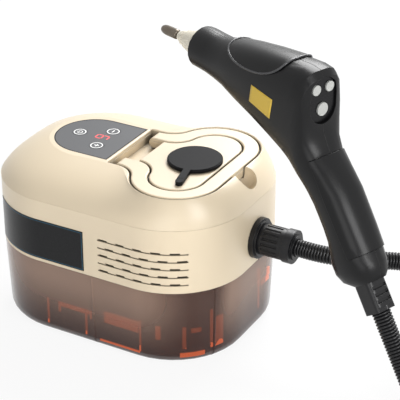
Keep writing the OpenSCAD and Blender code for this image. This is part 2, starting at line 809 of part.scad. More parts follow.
// Tube with a bore: outer rings and inner rings share their ends
module bored_tube(outer, inner) {
  n = len(outer[0]);
  m = len(outer);
  q = len(inner);
  points = concat([for (r = outer) each r], [for (r = inner) each r]);
  function strip(from, rings, flip) = [for (k = [0 : rings - 2], i = [0 : n - 1])
    let (a = from + k * n + i, b = from + k * n + (i + 1) % n)
    each (flip ? [[a, b, a + n], [b, b + n, a + n]] : [[a, a + n, b], [b, a + n, b + n]])];
  function rim(o, p, flip) = [for (i = [0 : n - 1]) let (j = (i + 1) % n)
    each (flip ? [[o + i, p + i, o + j], [o + j, p + i, p + j]]
               : [[o + i, o + j, p + i], [o + j, p + j, p + i]])];
  polyhedron(points, concat(strip(0, m, false), strip(m * n, q, true),
    rim(0, m * n, false), rim((m - 1) * n, (m + q - 1) * n, true)), convexity = 8);
}

// Each rib is a crest and a groove ring of 8 sides
module ribbed_hose(route, ribs) {
  steps = 2 * ribs;
  outer = [for (k = [0 : steps]) let (u = k / steps)
    ring_round(curve_at(route, u), heading(route, u), k % 2 == 0 ? hose_r : hose_r - rib_d, 8)];
  inner = [for (k = [0 : 2 * len(route)]) let (u = k / (2 * len(route)))
    ring_round(curve_at(route, u), heading(route, u), hose_bore_r, 8)];
  bored_tube(outer, inner);
}

module base_hose() { color(BLACK) ribbed_hose(base_route, base_ribs); }
module gun_hose() { color(BLACK) ribbed_hose(gun_route, gun_ribs); }

// The stored length: a neat stack of turns, from the back at the top to the front at the floor
coil_steps = round(coil_turns * loop_rings);
function coil_point(k) =
  let (t = k / coil_steps, a = 90 - 360 * coil_turns * t)
  [coil_at.x + coil_r * cos(a), coil_at.y + coil_r * sin(a), coil_top + t * (coil_low - coil_top)];
coil_points = [for (k = [0 : coil_steps]) coil_point(k)];

// Least gap of the coil to itself and to the two stretches, on points
coil_self_gap = min([for (i = [0 : coil_steps], j = [0 : coil_steps])
  if (abs(i - j) > loop_rings / 2) norm(coil_points[i] - coil_points[j]) - 2 * hose_r]);
function stretch_gap(route, far) = min([for (k = [0 : 40], j = far)
  norm(curve_at(route, k / 40) - coil_points[j]) - 2 * hose_r]);
base_gap = stretch_gap(base_route, [for (j = [loop_rings / 2 : coil_steps]) j]);
gun_gap = stretch_gap(gun_route, [for (j = [0 : coil_steps - loop_rings / 2]) j]);
echo(coil_self_gap = coil_self_gap, base_gap = base_gap, gun_gap = gun_gap);

function path_length(points) =
  vsum([for (i = [1 : len(points) - 1]) norm(points[i] - points[i - 1])]);
hose_length = path_length(coil_points)
  + path_length([for (k = [0 : 100]) curve_at(base_route, k / 100)])
  + path_length([for (k = [0 : 100]) curve_at(gun_route, k / 100)]);
echo(hose_length = hose_length);

module hose_coil() {
  color(BLACK) skin([for (k = [0 : coil_steps])
    let (h = unit(coil_points[min(k + 1, coil_steps)] - coil_points[max(k - 1, 0)]),
         flat = k == 0 || k == coil_steps ? [k == 0 ? 1 : -1, 0, 0] : h)
    ring_round(coil_points[k], flat, hose_r, 6)]);
}

// Strap round the turns of the coil
module hose_tie() {
  t = 1.2;
  gap = 0.3;
  low = coil_point(round(coil_steps - loop_rings / 4)).z - hose_r - gap;
  high = coil_point(round(loop_rings / 4)).z + hose_r + gap;
  half = hose_r + gap;
  color("#3B3B3D") translate([coil_at.x + coil_r, coil_at.y, (low + high) / 2]) rotate([90, 0, 0])
    linear_extrude(9, center = true) difference() {
      rounded_plan(half + t, (high - low) / 2 + t, half);
      rounded_plan(half, (high - low) / 2, half - t);
    }
}

// Carry handle: loop with two arms, each bored for a pivot pin
module carry_handle() {
  color(CREAM) difference() {
    union() {
      translate([0, 0, top_z - handle_t]) linear_extrude(handle_t) difference() {
        bell_plan(loop_r, neck_half, pivot_x);
        bell_plan(loop_r - band_w, neck_half - band_w, pivot_x - 1);
      }
      for (s = [-1, 1]) translate([pivot_x, s * (neck_half - band_w / 2), pivot_z]) rotate([90, 0, 0])
        cylinder(r = handle_t / 2, h = band_w, center = true);
    }
    for (s = [-1, 1]) translate([pivot_x, s * (neck_half - 2), pivot_z]) rotate([s * -90, 0, 0])
      translate([0, 0, -6.5]) cylinder(r = pivot_r + pivot_play, h = 20);
  }
}

// Filler cap: rubber disc with a plug below and a strap at the side
module filler_cap() {
  color(BLACK) translate([cap_at.x, cap_at.y, cap_z]) {
    cylinder(r = cap_r - 0.8, h = cap_t);
    translate([0, 0, 0.6]) cylinder(r = cap_r, h = cap_t - 1.2);
    rotate(strap_turn) translate([0, -strap_w / 2, 0]) cube([strap_l, strap_w, cap_t]);
    translate([0, 0, -plug_h - cap_lift]) cylinder(r1 = filler_r - plug_top_play - plug_taper,
      r2 = filler_r - plug_top_play, h = plug_h + cap_lift + eps);
  }
}

// Steam gun

module gun_frame() translate(gun_at) rotate([0, 0, gun_turn]) children();

function power(c, square) = sign(c) * pow(abs(c), 2 / square);

function gun_ring(s, grow) =
  let (out = [s[0].x, 0, s[0].y], inn = [s[1].x, 0, s[1].y], mid = (out + inn) / 2,
       half = (out - inn) / 2, reach = (norm(half) + grow) / norm(half))
  [for (k = [0 : gun_points - 1]) let (a = (k + 0.5) * 360 / gun_points)
    mid + reach * power(cos(a), s[3]) * half + [0, (s[2] + grow) * power(sin(a), s[3]), 0]];

// Outside of the gun, grown or drawn in by a wall
module gun_form(grow) skin([for (s = stations) gun_ring(s, grow)]);

// Room inside the shells, closed near the barrel's mouth and at the foot of the grip
module gun_room() {
  inner = [for (i = [1 : len(stations) - 2]) stations[i]];
  difference() {
    skin([for (s = inner) gun_ring(s, -shell_wall)]);
    translate([back_x - 50, -50, -22]) cube([50 + back_wall, 100, 60]);
  }
}

// Side view of the raised cover on top of the barrel: the lower half of an ellipse
module cover_side(grow) {
  rx = cover_half.x + grow;
  rz = cover_half.y + grow;
  rotate([90, 0, 0]) linear_extrude(80, center = true)
    polygon(concat([for (a = [180 : 7.5 : 360]) cover_mid + [rx * cos(a), rz * sin(a)]],
      [cover_mid + [rx, 20], cover_mid + [-rx, 20]]));
}

// Back of the grip, between two seams square to it
module insert_zone(grow) {
  g0 = insert_g[0] - grow;
  g1 = insert_g[1] + grow;
  deep = insert_deep + grow;
  rotate([90, 0, 0]) linear_extrude(80, center = true)
    polygon([for (p = [[g0, -2], [g0, deep], [g1, deep], [g1, -2]]) p.x * grip_dir + p.y * grip_out]);
}

// Oval seat of the buttons on the gun's back
module oval_plan(grow) {
  for (z = seat_z) translate([0, z]) circle(seat_r + grow);
  translate([-seat_r - grow, seat_z[0]]) square([2 * (seat_r + grow), seat_z[1] - seat_z[0]]);
}

module oval_seat(grow, depth) {
  translate([back_x - 6, 0, 0]) rotate([90, 0, 90]) linear_extrude(6 + depth) oval_plan(grow);
}

button_spots = [[small_button_y, small_button_z, small_button_r],
  [-small_button_y, small_button_z, small_button_r], [0, steam_button_z, steam_button_r]];

module button_holes(extra, from, to) {
  for (b = button_spots) translate([from, b[0], b[1]]) rotate([0, 90, 0])
    cylinder(r = b[2] + extra, h = to - from);
}

// Screw bosses that join the two shells: place in the side view and half length
boss_r = 3.4;
shell_screw_r = 1.3;
shell_head_r = 2.3;
low_boss = 104 * grip_dir + 44 * grip_out;
screw_spots = [[112, -8, 14.2], [46, -18, 19], [30, -40, 17.7], [low_boss.x, low_boss.y, 15.2]];

module gun_shell(side) {
  keep = 100;
  difference() {
    intersection() {
      union() {
        difference() {
          gun_form(0);
          gun_room();
        }
        for (p = screw_spots) translate([p.x, 0, p.y]) rotate([90, 0, 0])
          cylinder(r = boss_r, h = 2 * p[2], center = true);
      }
      translate([-keep, side > 0 ? 0.05 : -2 * keep, -2 * keep])
        cube([4 * keep, 2 * keep - 0.05, 4 * keep]);
    }
    cover_side(cover_gap);
    insert_zone(cover_gap);
    oval_seat(cover_gap, button_recess + button_panel_t);
    button_holes(button_play + 1.4, back_x, back_x + 9);
    translate([barrel_x - 20, 0, 0]) rotate([0, 90, 0]) cylinder(r = collar_r + 0.1, h = 30);
    for (p = screw_spots) translate([p.x, 0, p.y]) rotate([90, 0, 0]) {
      translate([0, 0, -9]) cylinder(r = shell_screw_r, h = 40);
      translate([0, 0, 9]) cylinder(r = shell_head_r + 0.2, h = 40);
    }
    relief_socket();
  }
}

module gun_shell_left() { color(BLACK) gun_frame() gun_shell(1); }
module gun_shell_right() { color(BLACK) gun_frame() gun_shell(-1); }

module gun_top_cover() {
  color("#242426") gun_frame() difference() {
    intersection() {
      gun_form(cover_rise);
      cover_side(0);
    }
    gun_room();
  }
}

module grip_insert() {
  color("#242426") gun_frame() difference() {
    intersection() {
      gun_form(insert_rise);
      insert_zone(0);
    }
    gun_room();
  }
}

module button_panel() {
  color("#141416") gun_frame() difference() {
    translate([panel_face, 0, 0]) rotate([90, 0, 90]) linear_extrude(button_panel_t) oval_plan(0);
    button_holes(button_play, panel_face - 1, panel_face + 9);
  }
}

module gun_button(b) {
  from = panel_face - button_proud;
  inside = panel_face + button_panel_t + 0.2;
  color("#D9DAD8") gun_frame() translate([0, b[0], b[1]]) rotate([0, 90, 0]) {
    translate([0, 0, from]) cylinder(r = b[2], h = inside - from + eps);
    translate([0, 0, inside]) cylinder(r = b[2] + 1, h = button_flange_t);
  }
}

module left_button() gun_button(button_spots[0]);
module right_button() gun_button(button_spots[1]);
module steam_button() gun_button(button_spots[2]);

module switch_board() {
  face = panel_face + button_panel_t + 0.2 + button_flange_t + button_travel + switch_gap;
  color("#2F6B3A") gun_frame() {
    translate([face + 1, -9, -18]) cube([board_t, 18, 32]);
    for (b = button_spots) translate([face, b[0] - 2, b[1] - 2]) cube([1 + eps, 4, 4]);
    for (p = [[-6.5, -16], [6.5, -16], [0, 12.6]]) translate([back_x + back_wall + 0.1, p.x, p.y])
      rotate([0, 90, 0]) cylinder(r = 1.3, h = face + 1 + eps - back_x - back_wall - 0.1);
  }
}

module gun_steam_tube() {
  end = relief_start * grip_dir + (33 + relief_shift) * grip_out;
  turn = end - 12 * grip_dir;
  top = 50 * grip_dir + 43 * grip_out;
  color("#C9C9C4") gun_frame() bar([[barrel_x - 12, 0, 0], [40, 0, 0], [top.x, 0, top.y],
    [turn.x, 0, turn.y], [end.x, 0, end.y]], steam_tube_r);
}

// Nozzle: heat-proof collar with a seat for tools, and a metal tip with the jet

module nozzle_collar() {
  z1 = 14 + collar_l;
  z2 = z1 + nozzle_seat_l;
  color("#D8D2BF") gun_frame() translate([barrel_x - 14, 0, 0]) rotate([0, 90, 0]) difference() {
    union() {
      cylinder(r = collar_r, h = 15);
      translate([0, 0, 14.3]) cylinder(r = collar_brim_r, h = 1.2);
      translate([0, 0, 15.5 - eps])
        cylinder(r1 = collar_brim_r - 0.4, r2 = nozzle_seat_r + 1.6, h = z1 - 15.5 + eps);
      translate([0, 0, z1 - eps]) cylinder(r = nozzle_seat_r, h = nozzle_seat_l + 2 * eps);
      translate([0, 0, z2]) cylinder(r1 = nozzle_seat_r - 0.3, r2 = tip_r - 0.2, h = collar_end_l);
    }
    translate([0, 0, -1]) cylinder(r = steam_tube_r + 0.15, h = 4);
    translate([0, 0, 2]) cylinder(r = jet_r, h = 60);
  }
}

module nozzle_tip() {
  start = barrel_x + collar_l + nozzle_seat_l + collar_end_l;
  bend = tip_l - 7;
  color("#8D867C") gun_frame() translate([start, 0, 0]) rotate([0, 90, 0]) difference() {
    rotate_extrude() polygon(concat([[0, 0], [3.2, 0], [3.2, 0.8], [2.6, 1.4]],
      [for (a = [0 : 15 : 90]) [2.6 + (tip_r - 2.6) * sin(a), 2.2 + 2.4 * (1 - cos(a))]],
      [for (a = [0 : 15 : 75]) [tip_r - 2.2 * (1 - cos(a)), bend + (tip_l - bend) * sin(a)]],
      [[jet_r + 0.4, tip_l], [0, tip_l]]));
    translate([0, 0, -1]) cylinder(r = jet_r, h = tip_l + 2);
  }
}

// Strain relief at the foot of the grip, ribbed so that it bends with the hose

module along_grip(g) {
  c = g * grip_dir + (33 + relief_shift) * grip_out;
  translate([c.x, 0, c.y]) rotate([0, atan2(grip_dir.x, grip_dir.y), 0]) children();
}

module relief_socket() along_grip(relief_start - 9) cylinder(r = 8.2, h = 12);

module strain_relief() {
  color(BLACK) gun_frame() along_grip(relief_start) difference() {
    union() {
      translate([0, 0, -9]) cylinder(r = 8, h = 10);
      linear_extrude(relief_l) rounded_plan(8.8, 9, 4);
    }
    for (k = [0 : 2], s = [-1, 1]) translate([s * 8.8, 0, 5 + k * 5.2]) cube([3.4, 13, 2.4], center = true);
    for (s = [-1, 1]) translate([s * 8.8, 0, relief_l - 1]) cube([2.4, 30, 5], center = true);
    translate([0, 0, relief_l - socket_d]) cylinder(r = hose_r + hose_play, h = 10);
    translate([0, 0, -10]) cylinder(r = steam_tube_r + 0.2, h = 40);
  }
}

module shell_screws() {
  color("silver") gun_frame() for (p = screw_spots) translate([p.x, 0, p.y]) rotate([90, 0, 0]) {
    translate([0, 0, -8]) cylinder(r = shell_screw_r, h = 18);
    translate([0, 0, 9]) cylinder(r = shell_head_r, h = 2);
  }
}

rubber_feet();
water_tank();
tank_gasket();
chassis_deck();
deck_screws();
upper_housing();
filler_neck();
cap_anchor();
handle_pins();
control_panel();
control_board();
display_module();
boiler();
boiler_thermostat();
water_pump();
suction_tube();
suction_filter();
feed_tube();
steam_pipe();
power_board();
hose_flange();
hose_connector();
cord_bush();
base_hose();
hose_coil();
gun_hose();
hose_tie();
carry_handle();
filler_cap();
key_power();
key_plus();
key_minus();
gun_shell_left();
gun_shell_right();
gun_top_cover();
grip_insert();
button_panel();
switch_board();
gun_steam_tube();
nozzle_collar();
nozzle_tip();
strain_relief();
shell_screws();
steam_button();
left_button();
right_button();
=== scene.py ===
"""Looks of a handheld steam cleaner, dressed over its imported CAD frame.

The frame is the CAD model's: the origin lies under the middle of the base, +X points to the hose, -Y to
the user and +Z up. Sizes are in millimetres and are turned to metres once; the studio's are in metres.
"""

from __future__ import annotations

import logging
import math
from dataclasses import dataclass, replace
from enum import Enum
from functools import cache

import bmesh
import bpy
import numpy as np
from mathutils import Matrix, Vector

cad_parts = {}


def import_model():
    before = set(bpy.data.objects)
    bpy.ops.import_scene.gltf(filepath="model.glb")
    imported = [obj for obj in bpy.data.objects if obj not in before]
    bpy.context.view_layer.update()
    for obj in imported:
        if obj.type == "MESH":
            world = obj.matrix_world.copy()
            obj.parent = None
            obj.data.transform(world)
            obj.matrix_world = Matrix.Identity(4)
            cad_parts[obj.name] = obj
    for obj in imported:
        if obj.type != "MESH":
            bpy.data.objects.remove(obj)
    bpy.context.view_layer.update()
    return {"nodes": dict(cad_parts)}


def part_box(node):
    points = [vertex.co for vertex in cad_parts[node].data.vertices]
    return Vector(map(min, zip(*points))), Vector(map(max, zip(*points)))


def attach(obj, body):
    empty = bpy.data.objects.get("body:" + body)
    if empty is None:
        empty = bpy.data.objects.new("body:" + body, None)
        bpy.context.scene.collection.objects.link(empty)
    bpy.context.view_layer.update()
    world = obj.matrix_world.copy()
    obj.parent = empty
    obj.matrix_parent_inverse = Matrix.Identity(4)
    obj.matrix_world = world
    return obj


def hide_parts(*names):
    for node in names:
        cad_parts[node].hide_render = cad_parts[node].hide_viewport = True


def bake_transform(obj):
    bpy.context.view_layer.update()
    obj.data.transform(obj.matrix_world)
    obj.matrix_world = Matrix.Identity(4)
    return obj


MM = 0.001
LOG = logging.getLogger("steam_cleaner")

Tree = bpy.types.NodeTree
Socket = bpy.types.NodeSocket
Material = bpy.types.Material
Mesh = bpy.types.Mesh
Object = bpy.types.Object
Span = tuple[float, float]
Point = tuple[float, float, float]
Colour = tuple[float, float, float, float]


class Body(Enum):
    """Bodies of the CAD model that the scene's pieces ride on."""

    BASE = "base"
    HANDLE = "handle"
    POWER_KEY = "power_key"
    PLUS_KEY = "plus_key"
    MINUS_KEY = "minus_key"
    GUN = "gun"


class Slot(Enum):
    """Material slots of the record; no piece in this script is given one."""

    CREAM = "cream_plastic"
    SMOKE = "smoke_tank"
    BLACK = "black_plastic"
    WHITE = "white_plastic"
    PANEL = "grey_panel"
    BUTTON = "button_white"
    HOSE = "hose"


class Lay(Enum):
    """Ways in which a stretch of hose lies."""

    COILED = "coiled"
    LOOSE = "loose"


class KeySign(Enum):
    """Signs printed on the panel's keys."""

    POWER = "power"
    PLUS = "plus"
    MINUS = "minus"


# Colour and nodes


def linear(code: str, share: float = 1.0) -> Colour:
    """Turn an sRGB hex colour into linear values, times a share and up to 1, with full opacity.

    Args:
        code: Colour such as "#E3D2AF".
        share: Below 1 for a darker tone, above 1 for a lighter one.

    Returns:
        Red, green, blue and opacity.
    """
    values = np.array([int(code[i : i + 2], 16) for i in (1, 3, 5)]) / 255
    low = values / 12.92
    high = ((values + 0.055) / 1.055) ** 2.4
    tone = np.where(values <= 0.04045, low, high) * share
    red, green, blue = np.minimum(tone, 1).tolist()
    return red, green, blue, 1.0


def add_node(
    tree: Tree, kind: str, settings: dict | None = None, inputs: dict | None = None
) -> bpy.types.Node:
    """Add a node, set its properties, and fill or link its inputs.

    Args:
        tree: Node tree that takes the node.
        kind: Blender's name of the node type, after its common first word.
        settings: Properties by name.
        inputs: Values or output sockets by input name or number.

    Returns:
        The new node.
    """
    node = tree.nodes.new("ShaderNode" + kind)
    for key, value in (settings or {}).items():
        setattr(node, key, value)
    for key, value in (inputs or {}).items():
        if isinstance(value, Socket):
            tree.links.new(value, node.inputs[key])
        else:
            node.inputs[key].default_value = value
    return node


# Finishes

# Share of the colour that is left where the painted shade in a gap is darkest
GAP_SHADE_TONE = 0.12
# Shares of open sky at which the painted shade in a gap is darkest and at which it ends
GAP_SHADE_SKY = (0.1, 0.7)
# Values between which most of a noise lies
NOISE_SPAN = (0.3, 0.7)
LEAST_ROUGHNESS = 0.02
GAP_SHADE_SAMPLES = 8
EDGE_SAMPLES = 6
PLATE_MAP = "plate_mm"


@dataclass(frozen=True)
class Finish:
    """A real material: its colour, its gloss, the size of its unevenness, and where asked painted shade
    in gaps and a glow of its own.

    Attributes:
        name: Common name and how the surface was made.
        colour: sRGB hex colour.
        roughness: Mean roughness.
        ior: Index of refraction; a metal keeps the default.
        metallic: 1 for bare metal.
        alpha: Opacity of one surface.
        coat: Weight of a clear gloss layer.
        coat_roughness: Roughness of that layer.
        mottle: Share by which the colour wanders.
        mottle_mm: Size of the colour's patches.
        polish: Amount by which the roughness wanders.
        grain_mm: Size of the moulded grain.
        grain_depth_mm: Height of that grain.
        edge_mm: Radius that softens the edges.
        glow: Strength of its own light; on a part that is no lamp it is painted light.
        painted_gap_shade_mm: Width of the gaps and hollows in which shade is painted into the colour.
    """

    name: str
    colour: str
    roughness: float
    ior: float = 1.5
    metallic: float = 0.0
    alpha: float = 1.0
    coat: float = 0.0
    coat_roughness: float = 0.08
    mottle: float = 0.05
    mottle_mm: float = 22.0
    polish: float = 0.06
    grain_mm: float = 0.8
    grain_depth_mm: float = 0.006
    edge_mm: float = 0.0
    glow: float = 0.0
    painted_gap_shade_mm: float = 0.0

    def base_colour(self, tree: Tree, place: Socket) -> Socket:
        """Wander between a darker and a lighter tone of the colour, in patches of mottle_mm.

        Args:
            tree: The material's nodes.
            place: Object coordinates.

        Returns:
            Output socket with the colour.
        """
        patches = add_node(
            tree, "TexNoise", inputs={"Vector": place, "Scale": 1 / (self.mottle_mm * MM), "Detail": 3.0}
        )
        mix = add_node(
            tree,
            "Mix",
            {"data_type": "RGBA"},
            {
                "Factor": patches.outputs["Fac"],
                "A": linear(self.colour, 1 - self.mottle),
                "B": linear(self.colour, 1 + self.mottle),
            },
        )
        return mix.outputs["Result"]

    def shaded(self, tree: Tree, colour: Socket) -> Socket:
        """Paint shade into the colour in gaps and hollows, where near walls hide the sky.

        Args:
            tree: The material's nodes.
            colour: Output socket with the colour.

        Returns:
            Output socket with the colour and its painted shade.
        """
        sky = add_node(
            tree, "AmbientOcclusion", {"samples": GAP_SHADE_SAMPLES}, {"Distance": self.painted_gap_shade_mm * MM}
        )
        share = add_node(
            tree,
            "MapRange",
            inputs={"Value": sky.outputs["AO"], "From Min": GAP_SHADE_SKY[0], "From Max": GAP_SHADE_SKY[1]},
        )
        mix = add_node(
            tree,
            "Mix",
            {"data_type": "RGBA"},
            {"Factor": share.outputs["Result"], "A": linear(self.colour, GAP_SHADE_TONE), "B": colour},
        )
        return mix.outputs["Result"]

    @cache
    def material(self) -> Material:
        """Make the material, once for each finish.

        Returns:
            A node material on Object coordinates.
        """
        made = bpy.data.materials.new(self.name)
        made.use_nodes = True
        tree = made.node_tree
        sockets = tree.nodes["Principled BSDF"].inputs
        place = add_node(tree, "TexCoord").outputs["Object"]
        colour = self.base_colour(tree, place)
        # Painted shade: the colour darkens in gaps and hollows where the finish asks for it
        if self.painted_gap_shade_mm > 0:
            colour = self.shaded(tree, colour)
        tree.links.new(colour, sockets["Base Color"])
        grain = add_node(
            tree, "TexNoise", inputs={"Vector": place, "Scale": 1 / (self.grain_mm * MM), "Detail": 2.0}
        )
        gloss = add_node(
            tree,
            "MapRange",
            inputs={
                "Value": grain.outputs["Fac"],
                "From Min": NOISE_SPAN[0],
                "From Max": NOISE_SPAN[1],
                "To Min": max(self.roughness - self.polish, LEAST_ROUGHNESS),
                "To Max": self.roughness + self.polish,
            },
        )
        tree.links.new(gloss.outputs["Result"], sockets["Roughness"])
        bump = add_node(
            tree,
            "Bump",
            inputs={
                "Height": grain.outputs["Fac"],
                "Distance": self.grain_depth_mm * MM,
                "Strength": 1.0,
            },
        )
        if self.edge_mm > 0:
            edge = add_node(tree, "Bevel", {"samples": EDGE_SAMPLES}, {"Radius": self.edge_mm * MM})
            tree.links.new(edge.outputs["Normal"], bump.inputs["Normal"])
        tree.links.new(bump.outputs["Normal"], sockets["Normal"])
        sockets["Metallic"].default_value = self.metallic
        sockets["IOR"].default_value = self.ior
        sockets["Alpha"].default_value = self.alpha
        sockets["Coat Weight"].default_value = self.coat
        sockets["Coat Roughness"].default_value = self.coat_roughness
        # Own light: real for the lit display, painted light for the tank's inner walls
        if self.glow > 0:
            sockets["Emission Color"].default_value = linear(self.colour)
            sockets["Emission Strength"].default_value = self.glow
        return made


@dataclass(frozen=True)
class EdgedPlate(Finish):
    """Printed plate with a thin line set in from its edge, drawn on UV coordinates in millimetres.

    Attributes:
        line_colour: sRGB hex colour of the line.
        length_mm: Length of the plate.
        height_mm: Height of the plate.
        inset_mm: Distance of the line from the edge.
        line_mm: Width of the line.
    """

    line_colour: str = "#24566B"
    length_mm: float = 100.0
    height_mm: float = 35.0
    inset_mm: float = 0.9
    line_mm: float = 0.5

    def base_colour(self, tree: Tree, place: Socket) -> Socket:
        """Draw the line where the distance to the nearest edge lies within its width.

        Args:
            tree: The material's nodes.
            place: Object coordinates, for the plate's own colour.

        Returns:
            Output socket with the colour.
        """
        ground = super().base_colour(tree, place)
        flat = add_node(tree, "UVMap", {"uv_map": PLATE_MAP}).outputs["UV"]
        split = add_node(tree, "SeparateXYZ", inputs={"Vector": flat}).outputs
        near = []
        for axis, size in (("X", self.length_mm), ("Y", self.height_mm)):
            far = add_node(tree, "Math", {"operation": "SUBTRACT"}, {0: size, 1: split[axis]})
            least = add_node(tree, "Math", {"operation": "MINIMUM"}, {0: split[axis], 1: far.outputs[0]})
            near.append(least.outputs[0])
        edge = add_node(tree, "Math", {"operation": "MINIMUM"}, {0: near[0], 1: near[1]})
        line = add_node(
            tree,
            "Math",
            {"operation": "COMPARE"},
            {0: edge.outputs[0], 1: self.inset_mm + self.line_mm / 2, 2: self.line_mm / 2},
        )
        mix = add_node(
            tree,
            "Mix",
            {"data_type": "RGBA"},
            {"Factor": line.outputs[0], "A": ground, "B": linear(self.line_colour)},
        )
        return mix.outputs["Result"]


@dataclass(frozen=True)
class PaintedSheenWall(Finish):
    """Tinted plastic with painted light: its even colour is partly its tint and partly a painted sheen.

    Towards its foot, and round its right front corner, it fades to a dark colour, painted shade where
    that sheen is missing.

    Attributes:
        painted_shade_colour: sRGB hex colour of the painted shade where it is darkest.
        foot_mm: Heights at which the colour is all painted shade and all even colour.
        right_mm: Places along X at which the corner's painted shade starts and is full.
        front_mm: Places along Y at which the corner's painted shade is full and ends.
        corner_shade_share: Share of the even colour that the corner's painted shade takes away.
    """

    painted_shade_colour: str = "#38150A"
    foot_mm: Span = (4.0, 62.0)
    right_mm: Span = (46.0, 90.0)
    front_mm: Span = (-52.0, -34.0)
    corner_shade_share: float = 0.85

    def base_colour(self, tree: Tree, place: Socket) -> Socket:
        """Fade from the even colour, with its painted sheen, to the painted shade, at the foot and round
        the corner.

        The share of the even colour is foot x (1 - right x front), each a soft step along its axis.

        Args:
            tree: The material's nodes.
            place: Object coordinates.

        Returns:
            Output socket with the colour.
        """
        even = super().base_colour(tree, place)
        split = add_node(tree, "SeparateXYZ", inputs={"Vector": place}).outputs
        steps = []
        for axis, span, start, end in (
            ("Z", self.foot_mm, 0.0, 1.0),
            ("X", self.right_mm, 0.0, self.corner_shade_share),
            ("Y", self.front_mm, 1.0, 0.0),
        ):
            step = add_node(
                tree,
                "MapRange",
                {"interpolation_type": "SMOOTHSTEP"},
                {
                    "Value": split[axis],
                    "From Min": span[0] * MM,
                    "From Max": span[1] * MM,
                    "To Min": start,
                    "To Max": end,
                },
            )
            steps.append(step.outputs["Result"])
        # Painted shade at the foot and round the right front corner; painted sheen in the even colour
        # above
        foot, right, front = steps
        corner = add_node(tree, "Math", {"operation": "MULTIPLY"}, {0: right, 1: front})
        rest = add_node(tree, "Math", {"operation": "SUBTRACT"}, {0: 1.0, 1: corner.outputs[0]})
        share = add_node(tree, "Math", {"operation": "MULTIPLY"}, {0: foot, 1: rest.outputs[0]})
        mix = add_node(
            tree,
            "Mix",
            {"data_type": "RGBA"},
            {"Factor": share.outputs[0], "A": linear(self.painted_shade_colour), "B": even},
        )
        return mix.outputs["Result"]


# Glossy ABS moulding: an even cream skin with a soft sheen and rounded edges, and painted shade in its
# grooves, vents, finger notch and hand pocket
CREAM_ABS = Finish(
    "cream_abs_moulding",
    "#E2D1B4",
    0.36,
    coat=0.2,
    coat_roughness=0.3,
    mottle=0.01,
    polish=0.02,
    grain_depth_mm=0.001,
    edge_mm=0.6,
    painted_gap_shade_mm=12.0,
)
# Tinted clear plastic: smoky and smooth, it lets some light through; its light colour is partly a
# painted sheen, and its foot and right front corner hold painted shade
SMOKY_PLASTIC = PaintedSheenWall(
    "smoky_clear_plastic",
    "#9E8271",
    0.1,
    ior=1.33,
    alpha=0.75,
    coat=0.35,
    coat_roughness=0.05,
    mottle=0.04,
    polish=0.02,
    grain_depth_mm=0.0002,
)
# Inner walls of the tank: an orange tint with a painted glow, as if light fell on them everywhere
AMBER_PAINTED_GLOW = Finish("amber_clear_plastic", "#D85F2C", 0.3, mottle=0.2, mottle_mm=9, glow=2.4)
# Nylon with a spark-eroded skin: deep black with a dull, broad shine
BLACK_NYLON = Finish(
    "black_nylon_moulding", "#0F0F10", 0.34, ior=1.33, polish=0.03, grain_depth_mm=0.002, edge_mm=0.6
)
# Raised covers of the gun: as black as the shells and a little smoother
BLACK_COVER = Finish(
    "black_cover_moulding", "#0E0E0F", 0.32, ior=1.33, polish=0.01, grain_depth_mm=0.001, edge_mm=0.5
)
# Rim of the barrel's cover: a bead whose grey, lighter than the cover, is a painted highlight along its
# edge
RIM_PAINTED_HIGHLIGHT = Finish("rubbed_rim_moulding", "#3A3A3C", 0.25, mottle=0.08, grain_depth_mm=0.001)
# Polished plate round the gun's buttons: black and clean, with a small sharp shine
BLACK_PLATE = Finish("black_polished_plate", "#0C0C0E", 0.3, ior=1.3, edge_mm=0.3)
# Moulded rubber: charcoal with almost no shine
CHARCOAL_RUBBER = Finish(
    "charcoal_rubber", "#161618", 0.55, ior=1.18, mottle=0.04, grain_depth_mm=0.004, edge_mm=0.5
)
# Blow-moulded hose: black with a glint on each rib
HOSE_PLASTIC = Finish("blow_moulded_hose", "#0E0E10", 0.3, ior=1.4, mottle=0.08, grain_depth_mm=0.004)
# Moulded connector and strain relief: black with a satin grain
BLACK_FITTING = Finish(
    "black_fitting_moulding", "#101012", 0.36, ior=1.4, grain_depth_mm=0.01, edge_mm=0.5
)
# Panel foil: smooth mid grey with an even, soft sheen
GREY_FOIL = Finish(
    "grey_panel_foil", "#5A5B5D", 0.45, ior=1.33, mottle=0.03, grain_mm=0.5, grain_depth_mm=0.003
)
# Screen print: flat ink, white for the signs and near black for lines; the dark ink also colours the
# sheet of painted shade behind the vents
WHITE_PRINT = Finish("white_screen_print", "#F6F6F4", 0.5, mottle=0.02)
DARK_PRINT_AND_SHADE = Finish("dark_screen_print", "#101113", 0.5, ior=1.3, mottle=0.03)
# Lit segments of the display: a soft red glow through the foil
RED_SEGMENT = Finish("red_display_segment", "#D6484C", 0.5, mottle=0.04, glow=0.5)
# Cut vinyl: a flat, warm yellow with a dull gloss
YELLOW_VINYL = Finish("yellow_vinyl", "#D3B13F", 0.42, mottle=0.03, grain_depth_mm=0.003)
# Buttons of the gun: satin, a little greyer than pure white
WHITE_KEY = Finish("white_button_moulding", "#ABACA8", 0.4, mottle=0.03, edge_mm=0.5)
# Heat-proof moulding behind the tip: ivory and dull
IVORY_COLLAR = Finish("ivory_heat_moulding", "#F0E8D4", 0.45, mottle=0.06, mottle_mm=6, edge_mm=0.4)
# Turned steel: dark, with a brown tint from heat
HEAT_STEEL = Finish(
    "heat_tinted_steel",
    "#6C645A",
    0.26,
    metallic=1.0,
    mottle=0.18,
    mottle_mm=4,
    grain_mm=0.3,
    edge_mm=0.2,
)
# Plated screws and pins: bright grey with a clear shine
STEEL = Finish("plated_steel", "#B8B9BC", 0.25, metallic=1.0)
# Cast boiler: dull grey with a rough grain
CAST_METAL = Finish(
    "cast_aluminium", "#A9ABAE", 0.45, metallic=1.0, grain_mm=1.2, grain_depth_mm=0.03
)
